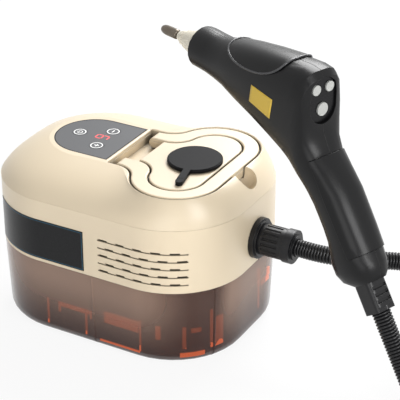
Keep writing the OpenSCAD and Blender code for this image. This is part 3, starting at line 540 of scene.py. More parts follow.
# Turned pump body: warm yellow metal
BRASS = Finish("turned_brass", "#B79B5E", 0.3, metallic=1.0)
# Mouldings inside: off-white and matt
PLAIN_MOULDING = Finish("plain_white_moulding", "#D9D6CC", 0.5)
# Extruded tubes: milky and dull
SILICONE = Finish("milky_silicone", "#D8D4C8", 0.5)
# Lacquered boards: green in uneven patches
BOARD = Finish("green_board", "#2F6B3F", 0.45, mottle=0.12, mottle_mm=4)
# Printed plate: black gloss with a thin blue line near its edge
PLATE = EdgedPlate("black_printed_plate", "#0D0E10", 0.22, ior=1.33, grain_depth_mm=0.001)

NODE_FINISHES: tuple[tuple[Finish, tuple[str, ...]], ...] = (
    (CHARCOAL_RUBBER, ("rubber_feet", "tank_gasket", "cap_anchor", "hose_tie", "filler_cap")),
    (PLAIN_MOULDING, ("chassis_deck", "filler_neck", "boiler_thermostat", "suction_filter")),
    (STEEL, ("deck_screws", "handle_pins", "shell_screws")),
    (GREY_FOIL, ("control_panel", "key_power", "key_plus", "key_minus")),
    (BOARD, ("control_board", "power_board", "switch_board")),
    (DARK_PRINT_AND_SHADE, ("display_module",)),
    (CAST_METAL, ("boiler",)),
    (BRASS, ("water_pump",)),
    (SILICONE, ("suction_tube", "feed_tube", "steam_pipe", "gun_steam_tube")),
    (BLACK_FITTING, ("hose_flange", "hose_connector", "cord_bush", "strain_relief")),
    (BLACK_PLATE, ("button_panel",)),
    (IVORY_COLLAR, ("nozzle_collar",)),
    (HEAT_STEEL, ("nozzle_tip",)),
    (WHITE_KEY, ("steam_button", "left_button", "right_button")),
)


# Shapes as arrays

ARC_POINTS = 65


@dataclass
class Shape:
    """Points and faces of a surface.

    Attributes:
        points: Array of points, in millimetres.
        faces: Blocks of faces, each an array with one face a row.
    """

    points: np.ndarray
    faces: list[np.ndarray]


def joined(shapes: list[Shape]) -> Shape:
    """Join shapes into one: each one's point numbers count on from the shapes before it.

    Args:
        shapes: The shapes, in order.

    Returns:
        The joined shape.
    """
    starts = np.cumsum([0] + [len(shape.points) for shape in shapes])
    faces = [block + start for shape, start in zip(shapes, starts) for block in shape.faces]
    return Shape(np.vstack([shape.points for shape in shapes]), faces)


def unit(vectors: np.ndarray) -> np.ndarray:
    """Scale each row to a length of 1."""
    return vectors / np.linalg.norm(vectors, axis=1)[:, None]


def on_circle(angle: np.ndarray) -> np.ndarray:
    """Give the points of a circle of radius 1: cosine and sine of each angle."""
    return np.column_stack([np.cos(angle), np.sin(angle)])


def circle(sides: int) -> np.ndarray:
    """Give the corners of a round profile of radius 1."""
    return on_circle(np.linspace(0, 2 * np.pi, sides, endpoint=False))


def rectangle(left: float, right: float, low: float, high: float) -> np.ndarray:
    """Give the four corners of a rectangular profile, anticlockwise."""
    return np.array([[left, low], [right, low], [right, high], [left, high]])


def raised(flat: np.ndarray, height: float) -> np.ndarray:
    """Set flat points at one height."""
    return np.column_stack([flat, np.full(len(flat), height)])


def upright(path: np.ndarray) -> np.ndarray:
    """Repeat the upward direction for each point of a path."""
    return np.tile([0.0, 0.0, 1.0], (len(path), 1))


def grid_faces(rows: int, columns: int, wrap_rows: bool, wrap_columns: bool) -> np.ndarray:
    """List the quads between neighbouring points of a grid.

    Args:
        rows: Number of rows of points.
        columns: Number of points in a row.
        wrap_rows: Whether the last row joins the first.
        wrap_columns: Whether a row's last point joins its first.

    Returns:
        Array of four point numbers a face.
    """
    i = np.arange(rows if wrap_rows else rows - 1)
    j = np.arange(columns if wrap_columns else columns - 1)
    a, b = np.meshgrid(i, j, indexing="ij")
    c = (a + 1) % rows
    d = (b + 1) % columns
    faces = np.stack([a * columns + b, a * columns + d, c * columns + d, c * columns + b], axis=-1)
    return faces.reshape(-1, 4)


def carry(profile: np.ndarray, path: np.ndarray, side: np.ndarray, up: np.ndarray) -> np.ndarray:
    """Carry a flat profile along a path: point = path + x side + y up.

    Args:
        profile: Points of the profile, x and y.
        path: Points of the path.
        side: The profile's x at each path point; its length scales the profile.
        up: The profile's y at each path point; its length scales the profile.

    Returns:
        Grid of points, path by profile.
    """
    return path[:, None] + profile[None, :, :1] * side[:, None] + profile[None, :, 1:] * up[:, None]


def tube(grid: np.ndarray, closed: bool = False) -> Shape:
    """Close a carried profile round, and at its two ends where the path is open.

    Args:
        grid: Points, path by profile.
        closed: Whether the path's end joins its start.

    Returns:
        A closed shape.
    """
    rows, columns = grid.shape[:2]
    faces = [grid_faces(rows, columns, closed, True)]
    if not closed:
        ring = np.arange(columns)
        faces += [ring[None, ::-1], (ring + (rows - 1) * columns)[None]]
    return Shape(grid.reshape(-1, 3), faces)


def prism(outline: np.ndarray, heights: Span) -> Shape:
    """Raise an outline between two heights.

    Args:
        outline: Corner points, x and y, anticlockwise.
        heights: Lower and upper face.

    Returns:
        A closed shape.
    """
    return tube(np.stack([raised(outline, height) for height in heights]))


def arc_band(centre: Span, radius: float, width: float, turn: Span, heights: Span) -> Shape:
    """Flat band round an arc: a rectangle carried along the circle.

    Args:
        centre: Middle of the circle.
        radius: Radius of the band's middle line.
        width: Width of the band.
        turn: First and last angle in degrees; a full turn closes the band.
        heights: Lower and upper face.

    Returns:
        A closed shape.
    """
    closed = abs(turn[1] - turn[0]) >= 360
    angle = np.radians(np.linspace(turn[0], turn[1], ARC_POINTS))
    out = raised(on_circle(angle[:-1] if closed else angle), 0.0)
    path = radius * out + np.array([*centre, 0.0])
    profile = rectangle(-width / 2, width / 2, *heights)
    return tube(carry(profile, path, out, upright(path)), closed)


# Meshes

# Decimals of a metre to which corners of loose triangles agree
WELD_DIGITS = 6
# Upward share of the normal from which a face counts as level
LEVEL_NORMAL = 0.9999
BRINK_SLACK = 0.02


def read(items: bpy.types.bpy_prop_collection, key: str, width: int, kind: type) -> np.ndarray:
    """Read one property of all vertices, edges, faces or corners of a mesh.

    Args:
        items: The mesh's vertices, edges, faces or corners.
        key: Name of the property.
        width: Number of values that each item has.
        kind: Number type of the values.

    Returns:
        Array with one row for each item, or a flat one where the width is 1.
    """
    values = np.zeros(len(items) * width, kind)
    items.foreach_get(key, values)
    return values.reshape(-1, width) if width > 1 else values


def add_object(name: str, data: bpy.types.ID) -> Object:
    """Put data into a new object at the origin of the scene.

    Args:
        name: Name of the object.
        data: Its mesh, camera or light.

    Returns:
        The new object.
    """
    piece = bpy.data.objects.new(name, data)
    bpy.context.scene.collection.objects.link(piece)
    return piece


def finish_mesh(mesh: Mesh, smooth_deg: float) -> None:
    """Shade a mesh smooth, apart from its sharp edges.

    Args:
        mesh: The mesh.
        smooth_deg: Edges sharper than this stay sharp.
    """
    mesh.validate()
    mesh.polygons.foreach_set("use_smooth", np.ones(len(mesh.polygons), bool))
    mesh.set_sharp_from_angle(angle=math.radians(smooth_deg))
    mesh.update()


def shape_object(
    name: str, shape: Shape, smooth_deg: float = 35.0, uv_mm: np.ndarray | None = None
) -> Object:
    """Put a shape into a mesh object at the origin, with its faces outward.

    Args:
        name: Name of the object.
        shape: Its points in millimetres and its faces.
        smooth_deg: Edges sharper than this stay sharp.
        uv_mm: Flat coordinates of each point, in millimetres.

    Returns:
        The new object.
    """
    mesh = bpy.data.meshes.new(name)
    faces = [row for block in shape.faces for row in block.tolist()]
    mesh.from_pydata((shape.points * MM).tolist(), [], faces)
    if uv_mm is not None:
        corner = read(mesh.loops, "vertex_index", 1, np.int32)
        layer = mesh.uv_layers.new(name=PLATE_MAP)
        layer.data.foreach_set("uv", uv_mm[corner].astype(np.float32).ravel())
    work = bmesh.new()
    work.from_mesh(mesh)
    bmesh.ops.recalc_face_normals(work, faces=work.faces)
    work.to_mesh(mesh)
    work.free()
    finish_mesh(mesh, smooth_deg)
    return add_object(name, mesh)


def dress(piece: Object, finish: Finish, body: Body | None = None) -> Object:
    """Give a piece its finish, and set it on a body.

    Args:
        piece: The piece.
        finish: Its finish.
        body: Body that it rides on, if it rides on one alone.

    Returns:
        The same piece.
    """
    piece.data.materials.clear()
    piece.data.materials.append(finish.material())
    if body is not None:
        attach(piece, body.value)
    return piece


def apply_modifiers(piece: Object) -> None:
    """Put the mesh that a piece's modifiers give in the place of its own.

    Args:
        piece: The piece.
    """
    bpy.context.view_layer.update()
    evaluated = piece.evaluated_get(bpy.context.evaluated_depsgraph_get())
    piece.data = bpy.data.meshes.new_from_object(evaluated)
    piece.modifiers.clear()


def cut_away(piece: Object, grooves: list[Shape]) -> None:
    """Cut shapes away from a piece.

    Args:
        piece: The piece.
        grooves: Shapes that are taken away from it.
    """
    tools = [shape_object("groove_tool", shape) for shape in grooves]
    for tool in tools:
        away = piece.modifiers.new("away", "BOOLEAN")
        away.operation = "DIFFERENCE"
        away.solver = "EXACT"
        away.object = tool
    apply_modifiers(piece)
    for tool in tools:
        bpy.data.objects.remove(tool)


def welded_mesh(node: str) -> Mesh:
    """Copy a CAD node's mesh with its loose triangles joined.

    Corners that agree to a thousandth of a millimetre become one.

    Args:
        node: Name of the CAD node.

    Returns:
        The new mesh.
    """
    source = bpy.data.objects[node].data
    source.calc_loop_triangles()
    points = np.round(read(source.vertices, "co", 3, np.float32), WELD_DIGITS)
    corners = read(source.loop_triangles, "vertices", 3, np.int32)
    welded, place = np.unique(points, axis=0, return_inverse=True)
    faces = place.reshape(-1)[corners]
    real = np.all(faces != np.roll(faces, 1, axis=1), axis=1)
    mesh = bpy.data.meshes.new(node + "_skin")
    mesh.from_pydata(welded.tolist(), [], faces[real].tolist())
    return mesh


def crisp_flat(mesh: Mesh, height: float) -> None:
    """Keep the brink of a level face sharp, so that the face is shaded flat.

    An edge at the face's height is the brink where one of its two faces is level and the other is not.

    Args:
        mesh: A closed mesh.
        height: Height of the level face, in millimetres.
    """
    heights = read(mesh.vertices, "co", 3, np.float32)[:, 2]
    lower_end = heights[read(mesh.edges, "vertices", 2, np.int32)].min(axis=1)
    level = read(mesh.polygons, "normal", 3, np.float32)[:, 2] > LEVEL_NORMAL
    level_corner = np.repeat(level, read(mesh.polygons, "loop_total", 1, np.int32))
    edge = read(mesh.loops, "edge_index", 1, np.int32)
    level_sides = np.bincount(edge, weights=level_corner, minlength=len(mesh.edges))
    brink = (lower_end > (height - BRINK_SLACK) * MM) & (level_sides == 1)
    sharp = read(mesh.edges, "use_edge_sharp", 1, bool)
    mesh.edges.foreach_set("use_edge_sharp", sharp | brink)


def smooth_skin(
    node: str,
    finish: Finish,
    body: Body,
    smooth_deg: float,
    grooves: list[Shape] | None = None,
    flat_top: float | None = None,
) -> Object:
    """Stand a smooth-shaded copy in for a CAD node that has flat facets.

    Args:
        node: Name of the CAD node.
        finish: Finish of the copy.
        body: Body that the copy rides on.
        smooth_deg: Edges sharper than this stay sharp.
        grooves: Shapes that are cut away from the copy.
        flat_top: Height of a level face that is shaded flat, in millimetres.

    Returns:
        The copy.
    """
    piece = add_object(node + "_skin", welded_mesh(node))
    if grooves:
        cut_away(piece, grooves)
    finish_mesh(piece.data, smooth_deg)
    if flat_top is not None:
        crisp_flat(piece.data, flat_top)
    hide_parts(node)
    return dress(piece, finish, body)


# Sub-assemblies


@dataclass
class SteamHose:
    """Ribbed hose from the base, through its stored coil, to the gun.

    The ribs follow |sin| along the hose, so that each crest is round and each groove narrow.
    """

    tie: Object
    radius: float = 7.2
    rib_depth: float = 1.1
    rib_pitch: float = 2.4
    rib_power: float = 1.5
    rings_per_rib: int = 4
    sides: int = 20
    smooth_deg: float = 80.0
    # Stored coil, from its top turn to the floor
    coil_middle: Span = (350.0, -15.0)
    coil_radius: float = 72.0
    coil_turns: float = 2.5
    coil_heights: Span = (46.0, 7.4)
    coil_points: int = 600
    # Routes from the connector to the coil, and from the coil to the gun
    route_points: int = 40
    base_route: tuple[Point, ...] = (
        (140.5, 3, 91), (150, 3, 91), (162, 3, 91), (175, 4.5, 91), (190, 9, 90.5), (205, 16, 89.7),
        (222, 27, 88), (240, 36, 84.5), (258, 43.5, 79.5), (276, 49.5, 72.5), (294, 53.5, 64.5),
        (312, 56, 56.5), (331, 57, 49.8), (349, 57, 46.5),
    )
    gun_route: tuple[Point, ...] = (
        (349, -87, 7.4), (334, -88.5, 7.4), (319, -92, 11), (307, -94, 20.5), (298.5, -94, 32.5),
        (291.5, -92.5, 45.5), (284.1, -90.4, 58.8), (276.3, -87.7, 71.2), (268.5, -84.9, 83.6),
        (260.6, -82.1, 96), (252.7, -79.2, 108.5), (249.9, -78.2, 113),
    )

    def smooth_route(self, route: tuple[Point, ...]) -> np.ndarray:
        """Draw a smooth curve through a route: a cubic between two points, bent by their neighbours.

        Args:
            route: The listed points.

        Returns:
            Dense points of the curve.
        """
        p = np.array(route, float)
        p = np.vstack([2 * p[0] - p[1], p, 2 * p[-1] - p[-2]])
        a, b, c, d = (q[:, None] for q in (p[:-3], p[1:-2], p[2:-1], p[3:]))
        t = np.linspace(0, 1, self.route_points, endpoint=False)[None, :, None]
        cubic = 2 * b + (c - a) * t + (2 * a - 5 * b + 4 * c - d) * t**2 + (3 * b - a - 3 * c + d) * t**3
        return np.vstack([(cubic / 2).reshape(-1, 3), p[-2:-1]])

    def coil_curve(self) -> np.ndarray:
        """Wind the stored turns: a circle that sinks evenly from the top turn to the floor.

        Returns:
            Dense points of the coil.
        """
        t = np.linspace(0, 1, self.coil_points)
        angle = np.radians(90 - 360 * self.coil_turns * t)
        flat = np.array(self.coil_middle) + self.coil_radius * on_circle(angle)
        top, floor = self.coil_heights
        return np.column_stack([flat, top + t * (floor - top)])

    def spaced(self, curve: np.ndarray) -> tuple[np.ndarray, float]:
        """Space points evenly along a curve, so that whole ribs fill it.

        Args:
            curve: Dense points.

        Returns:
            The spaced points and the curve's length, in millimetres.
        """
        run = np.concatenate([[0.0], np.cumsum(np.linalg.norm(np.diff(curve, axis=0), axis=1))])
        count = round(run[-1] / self.rib_pitch) * self.rings_per_rib
        at = np.linspace(0, run[-1], count + 1)
        return np.column_stack([np.interp(at, run, curve[:, k]) for k in range(3)]), float(run[-1])

    def ribbed(self, path: np.ndarray) -> Shape:
        """Carry a circle along the path, with a radius that rises and falls over each rib.

        Args:
            path: Evenly spaced points.

        Returns:
            The ribbed tube.
        """
        heading = unit(np.gradient(path, axis=0))
        side = unit(np.cross(heading, [0.0, 0.0, 1.0]))
        up = np.cross(side, heading)
        phase = np.arange(len(path)) / self.rings_per_rib
        groove = (1 - np.abs(np.sin(np.pi * phase))) ** self.rib_power
        size = (self.radius - self.rib_depth * groove)[:, None]
        return tube(carry(circle(self.sides), path, size * side, size * up))

    def stretch(
        self, name: str, curve: np.ndarray
    ) -> tuple[Object, np.ndarray]:
        """Args:
            name: Name of the piece.
            curve: Dense points of its middle line.

        Returns:
            The piece and its middle line.
        """
        path, length = self.spaced(curve)
        piece = shape_object(name, self.ribbed(path), self.smooth_deg)
        dress(piece, HOSE_PLASTIC)
        LOG.info("%s: %.0f mm long", name, length)
        return piece, path

    def build(self) -> list[Object]:
        """Make the two stretches, one on the base and one that bends between base and gun.

        Returns:
            The pieces.
        """
        whole = np.vstack([self.smooth_route(self.base_route), self.coil_curve()[1:]])
        stored, _ = self.stretch("stored_hose", whole)
        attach(stored, Body.BASE.value)
        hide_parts("base_hose", "hose_coil")
        rise = self.smooth_route(self.gun_route)
        rising, path = self.stretch("rising_hose", rise)
        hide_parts("gun_hose")
        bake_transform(rising)
        return [stored, rising]


@dataclass
class HandleGroove:
    """Soft groove on both sides of the carry handle and along the hand pocket.

    The handle's outline is bell-shaped: a straight neck, a hollow bend, and a round shoulder.
    """

    # Bell outline of the handle
    shoulder: Span = (55.0, 30.5)
    loop_radius: float = 37.0
    neck: float = 34.0
    blend: float = 20.0
    band: float = 13.5
    neck_start: float = -6.8
    arm_end: float = -3.5
    neck_points: int = 5
    bend_points: int = 16
    bow_points: int = 48
    # Hand pocket between the panel and the handle's island
    pocket_left: float = -7.0
    island_left: float = 13.0
    pocket_points: int = 5
    # Section of the groove
    top: float = 147.0
    gap: float = 0.8
    slit_extra: float = 0.35
    slit_deep: float = 3.0
    edge_radius: float = 1.3
    edge_turn: Span = (8.0, 90.0)
    edge_points: int = 8
    reach_above: float = 1.0

    def outline(self, shift: float, start_x: float) -> np.ndarray:
        """Draw the bell from one end of its neck round to the other.

        Straight along the neck, round the hollow bend, round the shoulder, then the mirror image.

        Args:
            shift: Distance outside the handle's outer edge.
            start_x: Where the neck starts.

        Returns:
            Points, x and y.
        """
        radius, neck, blend = self.loop_radius + shift, self.neck + shift, self.blend
        rise = neck + blend - self.shoulder[1]
        middle = np.array([self.shoulder[0] - math.sqrt((radius + blend) ** 2 - rise**2), neck + blend])
        lean = math.atan2(rise, self.shoulder[0] - middle[0])
        straight = np.linspace(start_x, middle[0], self.neck_points, endpoint=False)
        hollow = np.linspace(-math.pi / 2, -lean, self.bend_points)
        bow = np.linspace(math.pi - lean, 0, self.bow_points)[1:]
        half = np.vstack([
            np.column_stack([straight, np.full_like(straight, neck)]),
            middle + blend * on_circle(hollow),
            np.array(self.shoulder) + radius * on_circle(bow),
        ])
        return np.vstack([half, half[::-1] * [1, -1]])

    def along(self, path: np.ndarray) -> Shape:
        """Carry the groove's section along a path.

        The section is a slit, a little wider than the gap, whose upper edges widen in quarter circles.

        Args:
            path: Points, x and y.

        Returns:
            The shape to cut away.
        """
        turn = np.radians(np.linspace(*self.edge_turn, self.edge_points))
        slit = self.gap / 2 + self.slit_extra
        x = slit + self.edge_radius * (1 - np.sin(turn))
        z = -self.edge_radius * (1 - np.cos(turn))
        right = np.vstack([[x[0], self.reach_above], np.column_stack([x, z]), [slit, -self.slit_deep]])
        section = np.vstack([right * [-1, 1], right[::-1]])
        heading = unit(np.gradient(path, axis=0))
        side = raised(heading[:, ::-1] * [1, -1], 0.0)
        return tube(carry(section, raised(path, self.top), side, upright(path)))

    def cuts(self) -> list[Shape]:
        """List the grooves: outside and inside of the handle, and the pocket's two long edges.

        Returns:
            The shapes to cut away, the handle's two first.
        """
        half = self.gap / 2
        inner = -self.band - half
        across = np.linspace(-1, 1, self.pocket_points)[:, None]
        left = across * [0.0, self.neck - half] + [self.pocket_left + half, 0.0]
        right = across * [0.0, self.neck + inner] + [self.island_left - half, 0.0]
        outside = self.outline(half, self.neck_start)
        inside = self.outline(inner, self.arm_end)
        return [self.along(path) for path in (outside, inside, left, right)]


@dataclass(frozen=True)
class RoundedWall:
    """Upright wall across the front of the base, with a round corner and a side at each end."""

    half_length: float
    half_depth: float
    corner: float

    def corner_run(self, turn_deg: float) -> float:
        """Give the distance from the middle of the front to a place on the corner."""
        return self.half_length - self.corner + self.corner * math.radians(turn_deg)

    def at(self, run: np.ndarray, inset: float = 0.0) -> tuple[np.ndarray, np.ndarray]:
        """Follow the wall from the middle of its front, to the right or, below zero, to the left.

        The point moves along X on the front, round the corner's circle, then along Y on the side.

        Args:
            run: Distances along the wall, in millimetres.
            inset: Distance inside the wall.

        Returns:
            Points and outward directions, x and y.
        """
        hand, far = np.sign(run), np.abs(run)
        flat = self.half_length - self.corner
        bend = self.corner * math.pi / 2
        turn = np.clip(far - flat, 0, bend) / self.corner
        out = np.column_stack([hand * np.sin(turn), -np.cos(turn)])
        back = self.corner - self.half_depth + np.maximum(far - flat - bend, 0)
        start = np.column_stack([hand * np.minimum(far, flat), back])
        return start + (self.corner - inset) * out, out


@dataclass
class SteamBase:
    """Steam base: cream housing, smoky tank, plate, panel print and mould lines; turns in degrees."""

    wall: RoundedWall = RoundedWall(110.0, 84.0, 65.0)
    skin_deg: float = 28.0
    # Tank, from its seam to its round bottom edge
    seam: float = 69.0
    seam_gap: float = 0.4
    foot: float = 2.0
    tank_draft: float = 2.5
    tank_fillet: float = 7.0
    fillet_turn: Span = (90.0, 12.0)
    fillet_points: int = 14
    side_points: int = 12
    # Mould beads on the tank
    front_bead: float = 5.7
    corner_bead_turn: float = 60.5
    bead_half: float = 0.9
    bead_high: float = 0.5
    bead_sunk: float = 0.1
    bead_points: int = 9
    # Bare plate
    plate_start: float = 1.0
    plate_turn: float = 47.0
    plate_heights: Span = (72.0, 107.7)
    plate_thick: float = 0.35
    plate_points: int = 60
    # Edge line of the panel
    panel_middle: float = -43.0
    panel_end: float = -10.0
    panel_radius: float = 32.5
    panel_top: float = 147.0
    panel_points: int = 49
    line_inset: float = 0.45
    line_outer: float = 0.4
    line_thick: float = 0.06

    def build_plate(self) -> Object:
        """Bend the bare plate round the left front corner: a thin rectangle carried along the wall.

        Returns:
            The plate.
        """
        run = np.linspace(self.plate_start, self.wall.corner_run(self.plate_turn), self.plate_points)
        points, out = self.wall.at(-run)
        low, high = self.plate_heights
        half = (high - low) / 2
        path = raised(points, (low + high) / 2)
        profile = rectangle(0, self.plate_thick, -half, half)
        flat_map = np.broadcast_arrays((run - run[0])[:, None], profile[None, :, 1] + half)
        finish = replace(PLATE, length_mm=float(run[-1] - run[0]), height_mm=high - low)
        plate = shape_object(
            "bare_plate",
            tube(carry(profile, path, raised(out, 0.0), upright(path))),
            uv_mm=np.stack(flat_map, axis=-1).reshape(-1, 2),
        )
        return dress(plate, finish, Body.BASE)

    def tank_profile(self) -> np.ndarray:
        """Give the tank's outline from seam to floor, as inset and height.

        The side leans in by the draft, and the bottom edge is a quarter circle.

        Returns:
            Points with inset and height.
        """
        bend_top = self.foot + self.tank_fillet
        side_z = np.linspace(self.seam - self.seam_gap, bend_top, self.side_points)
        share = (self.seam - side_z) / (self.seam - bend_top)
        angle = np.radians(np.linspace(*self.fillet_turn, self.fillet_points))[1:]
        bend_inset = self.tank_draft + self.tank_fillet * (1 - np.sin(angle))
        bend_z = self.foot + self.tank_fillet * (1 - np.cos(angle))
        side = np.column_stack([self.tank_draft * share, side_z])
        return np.vstack([side, np.column_stack([bend_inset, bend_z])])

    def build_beads(self) -> Object:
        """Lay the two mould beads, half ovals, down the tank's front and its right front corner.

        Returns:
            The two beads as one piece.
        """
        outline = self.tank_profile()
        step = unit(np.gradient(outline, axis=0))
        half = self.bead_half
        bow = on_circle(np.radians(np.linspace(0, 180, self.bead_points))) * [half, self.bead_high]
        profile = np.vstack([bow, [[-half, -self.bead_sunk], [half, -self.bead_sunk]]])
        runs = np.array([self.front_bead, self.wall.corner_run(self.corner_bead_turn)])
        beads = []
        for spot, out in zip(*self.wall.at(runs)):
            path = np.column_stack([spot - outline[:, :1] * out, outline[:, 1]])
            lift = np.column_stack([-step[:, 1:] * out, step[:, 0]])
            side = np.tile([-out[1], out[0], 0.0], (len(path), 1))
            beads.append(tube(carry(profile, path, side, lift)))
        piece = shape_object("tank_beads", joined(beads))
        return dress(piece, SMOKY_PLASTIC, Body.BASE)

    def build_panel_print(self) -> Object:
        """Print the panel's dark edge line: a flat band along a half circle and its straight end.

        At each point the band's side is the mitre of the two outward directions that meet there.

        Returns:
            The line.
        """
        radius = self.panel_radius - self.line_inset
        end = self.panel_end - self.line_inset
        bend = on_circle(np.radians(np.linspace(90, 270, self.panel_points)))
        path = np.vstack([[end, radius], [self.panel_middle, 0.0] + radius * bend, [end, -radius]])
        ahead = unit(np.roll(path, -1, axis=0) - path)
        out = ahead[:, ::-1] * [1, -1]
        mitre = out + np.roll(out, 1, axis=0)
        mitre /= np.sum(mitre * out, axis=1)[:, None]
        profile = rectangle(-self.line_inset, self.line_outer, 0.0, self.line_thick)
        line = carry(profile, raised(path, self.panel_top), raised(mitre, 0.0), upright(path))
        piece = shape_object("panel_edge", tube(line, closed=True))
        return dress(piece, DARK_PRINT_AND_SHADE, Body.BASE)

    def build(self) -> list[Object]:
        """Dress the base.

        Returns:
            The pieces.
        """
        cuts = HandleGroove(top=self.panel_top).cuts()
        top = self.panel_top
        deg = self.skin_deg
        return [
            smooth_skin("upper_housing", CREAM_ABS, Body.BASE, deg, cuts, top),
            smooth_skin("carry_handle", CREAM_ABS, Body.HANDLE, deg, cuts[:2], top),
            smooth_skin("water_tank", SMOKY_PLASTIC, Body.BASE, deg),
            self.build_plate(),
            self.build_beads(),
            self.build_panel_print(),
        ]


@dataclass
class TankRibs:
    """Amber walls of the tank's chambers, with a painted glow, and a dark sheet of painted shade behind
    the vents, all strips along the base's inside.

    A strip is given by its ends along the wall and its lower and upper edge. Places along the wall count
    from the middle of the front to the right, round the corner and on along the right side.
    """

    wall: RoundedWall = RoundedWall(105.0, 79.0, 60.0)
    thick: float = 1.4
    step: float = 2.5
    strips: tuple[tuple[float, float, float, float], ...] = (
        (-42.5, -41.2, 8.0, 32.0),
        (-31.2, -1.8, 27.8, 31.6),
        (-31.2, -29.6, 22.0, 27.8),
        (-5.2, -3.8, 8.0, 27.8),
        (-0.6, 0.8, 24.0, 31.6),
        (13.6, 45.2, 25.0, 35.2),
        (46.6, 47.8, 8.0, 37.0),
        (8.8, 46.6, 6.2, 7.8),
        (60.7, 64.9, 22.5, 34.6),
        (82.7, 85.8, 14.0, 34.0),
        (90.0, 98.4, 28.5, 32.0),
        (80.6, 101.5, 6.0, 10.0),
        (106.8, 109.0, 11.0, 46.0),
        (111.0, 119.3, 11.0, 38.0),
        (175.0, 177.0, 35.0, 53.0),
        (181.0, 194.0, 33.5, 38.0),
        (192.0, 195.0, 38.0, 45.0),
        (176.0, 177.0, 14.0, 33.0),
    )
    # Dark sheet behind the vents: painted shade that blackens their slots
    shade_sheet_inset: float = -1.2
    shade_sheet: tuple[float, float, float, float] = (11.0, 94.0, 74.5, 107.5)

    def strip(self, first: float, last: float, low: float, high: float, inset: float = 0.0) -> Shape:
        """Stand a strip along the wall: a tall thin rectangle carried along it.

        Args:
            first: Its start along the wall.
            last: Its end along the wall.
            low: Its lower edge.
            high: Its upper edge.
            inset: Distance further in.

        Returns:
            A closed shape.
        """
        run = np.linspace(first, last, 2 + int((last - first) / self.step))
        points, out = self.wall.at(run, inset)
        profile = rectangle(-self.thick, 0, low, high)
        return tube(carry(profile, raised(points, 0.0), raised(out, 0.0), upright(points)))

    def build(self) -> list[Object]:
        """Stand the strips in the tank and the gauze behind the vents.

        Returns:
            Stand the strips in the tank and the dark sheet of painted shade behind the vents.
        """
        ribs = shape_object("tank_ribs", joined([self.strip(*ends) for ends in self.strips]))
        shade_sheet = shape_object("vent_gauze", self.strip(*self.shade_sheet, self.shade_sheet_inset))
        return [
            dress(ribs, AMBER_PAINTED_GLOW, Body.BASE),
            dress(shade_sheet, DARK_PRINT_AND_SHADE, Body.BASE),
        ]


@dataclass
class KeyPanel:
    """Printed signs of the keys and the lit digit; the reader faces -X, with +Y to the right."""

    # Ring round each sign
    ring_radius: float = 4.9
    ring_width: float = 0.95
    print_thick: float = 0.05
    # Open circle and bar of the power sign
    power_radius: float = 2.1
    power_turn: Span = (-145.0, 145.0)
    power_stroke: float = 0.75
    power_bar: float = 3.0
    power_bar_back: float = 1.6
    # Bars of plus and minus
    sign_stroke: float = 1.1
    sign_bar: float = 4.8
    plus_arm: float = 1.9
    plus_arm_out: float = 1.5
    # Lit digit
    digit_length: float = 11.0
    digit_width: float = 6.2
    digit_bar: float = 1.25
    digit_gap: float = 0.5
    digit_lift: float = 0.005
    digit_middle: Span = (-35.3, 1.6)
    panel_top: float = 147.0

    def bar(self, centre: Span, along: Span, length: float, width: float, heights: Span) -> Shape:
        """Make a straight bar with pointed ends: a long hexagon, raised between two heights.

        Args:
            centre: Middle of the bar.
            along: Direction of its length.
            length: Length between the points.
            width: Width.
            heights: Lower and upper face.

        Returns:
            A closed shape.
        """
        ahead = np.array(along, float)
        aside = np.array([-ahead[1], ahead[0]])
        half, side = length / 2, width / 2
        end = half - side
        x = np.array([half, end, -end, -half, -end, end])[:, None]
        y = np.array([0, side, side, 0, -side, -side])[:, None]
        return prism(np.array(centre) + x * ahead + y * aside, heights)

    def key_sign(self, sign: KeySign) -> Shape:
        """Draw a key's ring and its sign on the middle of the key's face.

        Args:
            sign: The key's sign.

        Returns:
            The print as one shape.
        """
        low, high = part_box("key_" + sign.value)
        x, y, _ = (low + high) / (2 * MM)
        heights = (high.z / MM, high.z / MM + self.print_thick)
        shapes = [arc_band((x, y), self.ring_radius, self.ring_width, (0, 360), heights)]
        if sign is KeySign.POWER:
            stroke, bar_x = self.power_stroke, x - self.power_bar_back
            shapes.append(arc_band((x, y), self.power_radius, stroke, self.power_turn, heights))
            shapes.append(self.bar((bar_x, y), (1, 0), self.power_bar, stroke, heights))
            return joined(shapes)
        stroke = self.sign_stroke
        shapes.append(self.bar((x, y), (0, 1), self.sign_bar, stroke, heights))
        if sign is KeySign.PLUS:
            for arm_x in (x - self.plus_arm_out, x + self.plus_arm_out):
                shapes.append(self.bar((arm_x, y), (1, 0), self.plus_arm, stroke, heights))
        return joined(shapes)

    def digit(self) -> Shape:
        """Light the six bars of a nine, with its top towards -X.

        Returns:
            The lit bars as one shape.
        """
        x, y = self.digit_middle
        long, wide = self.digit_length / 2, self.digit_width
        low = self.panel_top + self.digit_lift
        heights = (low, low + self.print_thick)
        bars = [((x + shift, y), (0, 1), wide) for shift in (-long, 0, long)]
        for shift, side in ((-long / 2, -wide / 2), (-long / 2, wide / 2), (long / 2, wide / 2)):
            bars.append(((x + shift, y + side), (1, 0), long))
        return joined([
            self.bar(centre, along, length - self.digit_gap, self.digit_bar, heights)
            for centre, along, length in bars
        ])

    def build(self) -> list[Object]:
        """Print the signs on their keys and light the digit.

        Returns:
            The pieces.
        """
        pieces = []
        for sign, body in (
            (KeySign.POWER, Body.POWER_KEY),
            (KeySign.PLUS, Body.PLUS_KEY),
            (KeySign.MINUS, Body.MINUS_KEY),
        ):
            piece = shape_object(sign.value + "_sign", self.key_sign(sign))
            pieces.append(dress(piece, WHITE_PRINT, body))
        lit = shape_object("lit_digit", self.digit())
        pieces.append(dress(lit, RED_SEGMENT, Body.BASE))
        return pieces


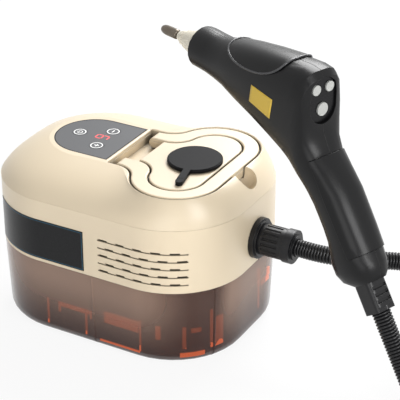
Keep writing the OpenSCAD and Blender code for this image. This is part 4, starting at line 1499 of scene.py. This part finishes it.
@dataclass
class SteamGun:
    """Steam gun: smooth skins over the moulded shells, the cover's rim and the bare yellow sticker.

    The gun's own frame has x along the barrel to the nozzle, y to its left and z up.
    """

    at: Point = (200.0, -60.0, 254.0)
    turn_deg: float = 160.0
    skin_deg: float = 30.0
    # Sticker, with its corners as x and z in the gun's frame
    sticker_corners: tuple[Span, ...] = ((64.6, -1.2), (41.7, -5.4), (44.5, -21.1), (67.0, -15.8))
    sticker_steps: tuple[int, int] = (14, 10)
    sticker_lift: float = 0.12
    sticker_start: float = 26.0
    # Rim bead of the barrel's cover
    rim_radius: float = 0.8
    rim_sides: int = 12
    rim_deg: float = 80.0
    rim_points: int = 150
    rim_step: float = 0.4
    rim_rounds: int = 3
    spots_per_edge: int = 9

    def turn(self) -> np.ndarray:
        """Give the matrix that turns the gun's frame about Z."""
        c, s = math.cos(math.radians(self.turn_deg)), math.sin(math.radians(self.turn_deg))
        return np.array([[c, -s, 0], [s, c, 0], [0, 0, 1.0]])

    def to_world(self, points: np.ndarray) -> np.ndarray:
        """Turn points of the gun's frame into the CAD model's frame, in millimetres."""
        return points @ self.turn().T + np.array(self.at)

    def to_own(self, points: np.ndarray) -> np.ndarray:
        """Turn points of the CAD model's frame into the gun's frame, in millimetres."""
        return (points - np.array(self.at)) @ self.turn()

    def cover_rim(self) -> np.ndarray:
        """Find the rim of the barrel's cover.

        The cover is unrolled round the barrel's axis; in each direction from its middle the farthest
        point of any edge lies on the rim. Neighbours are averaged, which evens the steps of the mesh.

        Returns:
            Points round the rim, in the gun's frame.
        """
        mesh = bpy.data.objects["gun_top_cover"].data
        own = self.to_own(read(mesh.vertices, "co", 3, np.float32) / MM)
        pairs = own[read(mesh.edges, "vertices", 2, np.int32)]
        share = np.linspace(0, 1, self.spots_per_edge)[None, :, None]
        spots = (pairs[:, :1] * (1 - share) + pairs[:, 1:] * share).reshape(-1, 3)
        reach = np.hypot(spots[:, 1], spots[:, 2])
        flat = np.column_stack([spots[:, 0], reach.mean() * np.arctan2(spots[:, 1], spots[:, 2])])
        flat -= (flat.min(axis=0) + flat.max(axis=0)) / 2
        way = np.floor((np.arctan2(flat[:, 1], flat[:, 0]) / (2 * math.pi) + 0.5) * self.rim_points)
        far = np.round(np.hypot(flat[:, 0], flat[:, 1]) / self.rim_step)
        order = np.lexsort((reach, far, way))
        last = np.append(way[order][1:] != way[order][:-1], True)
        rim = spots[order[last]]
        for _ in range(self.rim_rounds):
            rim = (np.roll(rim, 1, axis=0) + 2 * rim + np.roll(rim, -1, axis=0)) / 4
        return rim

    def build_rim(self) -> Object:
        """Lay a thin round bead along the cover's rim, half sunk: a circle carried along it.

        Returns:
            The bead.
        """
        path = self.cover_rim()
        heading = unit(np.roll(path, -1, axis=0) - np.roll(path, 1, axis=0))
        out = path * [0, 1, 1]
        up = unit(out - np.sum(out * heading, axis=1)[:, None] * heading)
        profile = self.rim_radius * circle(self.rim_sides)
        shape = tube(self.to_world(carry(profile, path, np.cross(heading, up), up)), closed=True)
        piece = shape_object("cover_rim", shape, self.rim_deg)
        # Its grey paints the highlight along the cover's edge
        return dress(piece, RIM_PAINTED_HIGHLIGHT, Body.GUN)

    def build_sticker(self, shell: Object) -> Object:
        """Lay the sticker on the shell: a grid between four corners, pressed onto the surface.

        Args:
            shell: The skin of the left shell.

        Returns:
            The sticker.
        """
        a, b, c, d = (np.array(p) for p in self.sticker_corners)
        u = np.linspace(0, 1, self.sticker_steps[0])[:, None, None]
        v = np.linspace(0, 1, self.sticker_steps[1])[None, :, None]
        flat = (1 - v) * ((1 - u) * a + u * b) + v * ((1 - u) * d + u * c)
        grid = np.insert(flat.reshape(-1, 2), 1, self.sticker_start, axis=1)
        shape = Shape(self.to_world(grid), [grid_faces(*self.sticker_steps, False, False)])
        piece = shape_object("yellow_sticker", shape)
        press = piece.modifiers.new("press", "SHRINKWRAP")
        press.target = shell
        press.wrap_method = "NEAREST_SURFACEPOINT"
        press.wrap_mode = "OUTSIDE_SURFACE"
        press.offset = self.sticker_lift * MM
        apply_modifiers(piece)
        thick = piece.modifiers.new("thick", "SOLIDIFY")
        thick.thickness = self.sticker_lift * MM
        thick.offset = -1.0
        return dress(piece, YELLOW_VINYL, Body.GUN)

    def build(self) -> list[Object]:
        """Dress the gun.

        Returns:
            The pieces.
        """
        skins = [
            smooth_skin(node, finish, Body.GUN, self.skin_deg)
            for node, finish in (
                ("gun_shell_left", BLACK_NYLON),
                ("gun_shell_right", BLACK_NYLON),
                ("gun_top_cover", BLACK_COVER),
                ("grip_insert", BLACK_COVER),
            )
        ]
        return [*skins, self.build_sticker(skins[0]), self.build_rim()]


@dataclass(frozen=True)
class SoftBox:
    """Square soft light: its name, its place, the length of a side in metres and its watts."""

    name: str
    at: Point
    size: float
    power: float


@dataclass
class Studio:
    """Camera, soft lights, pale floor and white surroundings, all in metres."""

    camera_at: Point = (0.600018, -0.966363, 0.701920)
    camera_aim: Point = (0.038901, 0.034968, 0.091607)
    lens: float = 138.76
    sensor: float = 36.0
    clip_start: float = 0.01
    floor_half: float = 6.0
    floor_colour: str = "#F2F2F2"
    floor_glow: float = 0.9
    sky_colour: str = "#F4F6FA"
    sky_strength: float = 0.35
    white: str = "#FFFFFF"
    light_aim: Point = (0.05, 0.0, 0.12)
    soft_boxes: tuple[SoftBox, ...] = (
        SoftBox("back_softbox", (-0.15, 1.5, 1.5), 1.2, 54.0),
        SoftBox("front_softbox", (0.6, -2.0, 0.5), 1.2, 10.0),
        SoftBox("right_softbox", (1.6, -0.6, 0.8), 0.9, 20.0),
    )

    def set_up(self, data: bpy.types.ID, at: Point, aim: Point) -> Object:
        """Stand a camera or a light at a place and turn it to a point.

        Args:
            data: The camera or the light.
            at: Its place.
            aim: Point that it faces.

        Returns:
            The new object.
        """
        stand = add_object(data.name, data)
        stand.location = at
        stand.rotation_euler = (Vector(aim) - Vector(at)).to_track_quat("-Z", "Y").to_euler()
        return stand

    def build_camera(self) -> None:
        """Set the camera to the photograph's view."""
        data = bpy.data.cameras.new("photo_camera")
        data.lens = self.lens
        data.sensor_width = self.sensor
        data.clip_start = self.clip_start
        bpy.context.scene.camera = self.set_up(data, self.camera_at, self.camera_aim)

    def build_lights(self) -> None:
        """Hang the square soft lights."""
        for box in self.soft_boxes:
            data = bpy.data.lights.new(box.name, "AREA")
            data.size = box.size
            data.energy = box.power
            self.set_up(data, box.at, self.light_aim)

    def seen_white(self, tree: Tree) -> Socket:
        """Tell rays from the camera, through clear walls and off glossy faces from all others.

        Args:
            tree: Nodes of the floor or the world.

        Returns:
            Output socket, 1 for those rays.
        """
        rays = add_node(tree, "LightPath").outputs
        seen = rays["Is Camera Ray"]
        for kind in ("Is Glossy Ray", "Is Transmission Ray"):
            either = add_node(tree, "Math", {"operation": "MAXIMUM"}, {0: seen, 1: rays[kind]})
            seen = either.outputs[0]
        return seen

    def build_world(self) -> None:
        """Surround the scene with white for the eye and soft grey for the light."""
        world = bpy.data.worlds.new("studio_world")
        world.use_nodes = True
        bpy.context.scene.world = world
        tree = world.node_tree
        tree.nodes.clear()
        sky = {"Color": linear(self.sky_colour), "Strength": self.sky_strength}
        soft = add_node(tree, "Background", inputs=sky)
        white = add_node(tree, "Background", inputs={"Color": linear(self.white), "Strength": 1.0})
        mix = add_node(
            tree,
            "MixShader",
            inputs={0: self.seen_white(tree), 1: soft.outputs[0], 2: white.outputs[0]},
        )
        add_node(tree, "OutputWorld", inputs={"Surface": mix.outputs[0]})

    def build_floor(self) -> None:
        """Lay a pale floor that is almost white to the eye and keeps a soft shadow."""
        half = self.floor_half
        corners = raised(rectangle(-half, half, -half, half), 0.0)
        mesh = bpy.data.meshes.new("studio_floor")
        mesh.from_pydata(corners.tolist(), [], [(0, 1, 2, 3)])
        # White paper: flat and without any shine
        material = bpy.data.materials.new("pale_paper_floor")
        material.use_nodes = True
        tree = material.node_tree
        tree.nodes.clear()
        seen = self.seen_white(tree)
        share = add_node(tree, "Math", {"operation": "MULTIPLY"}, {0: seen, 1: self.floor_glow})
        paper = add_node(tree, "BsdfDiffuse", inputs={"Color": linear(self.floor_colour)})
        white = add_node(tree, "Emission", inputs={"Color": linear(self.white), "Strength": 1.0})
        mix = add_node(
            tree,
            "MixShader",
            inputs={0: share.outputs[0], 1: paper.outputs[0], 2: white.outputs[0]},
        )
        add_node(tree, "OutputMaterial", inputs={"Surface": mix.outputs[0]})
        mesh.materials.append(material)
        add_object("studio_floor", mesh)

    def build(self) -> None:
        """Set up the studio."""
        bpy.context.scene.view_settings.view_transform = "Standard"
        self.build_camera()
        self.build_world()
        self.build_floor()
        self.build_lights()


def dress_nodes(nodes: dict[str, Object]) -> None:
    """Give each CAD node that shows its own finish.

    Args:
        nodes: CAD nodes by name.
    """
    for finish, names in NODE_FINISHES:
        for name in names:
            mesh = nodes[name].data
            mesh.materials.clear()
            mesh.materials.append(finish.material())
            LOG.info("%s: %s", name, finish.name)


def main() -> None:
    """Load the frame, build the classes in order and report each piece."""
    logging.basicConfig(level=logging.INFO, format="%(name)s: %(message)s")
    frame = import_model()
    nodes = frame["nodes"]
    Studio().build()
    dress_nodes(nodes)
    for part in (SteamHose(nodes["hose_tie"]), SteamBase(), TankRibs(), KeyPanel(), SteamGun()):
        for piece in part.build():
            LOG.info("%s: %d faces", piece.name, len(piece.data.polygons))


if __name__ == "__main__":
    main()
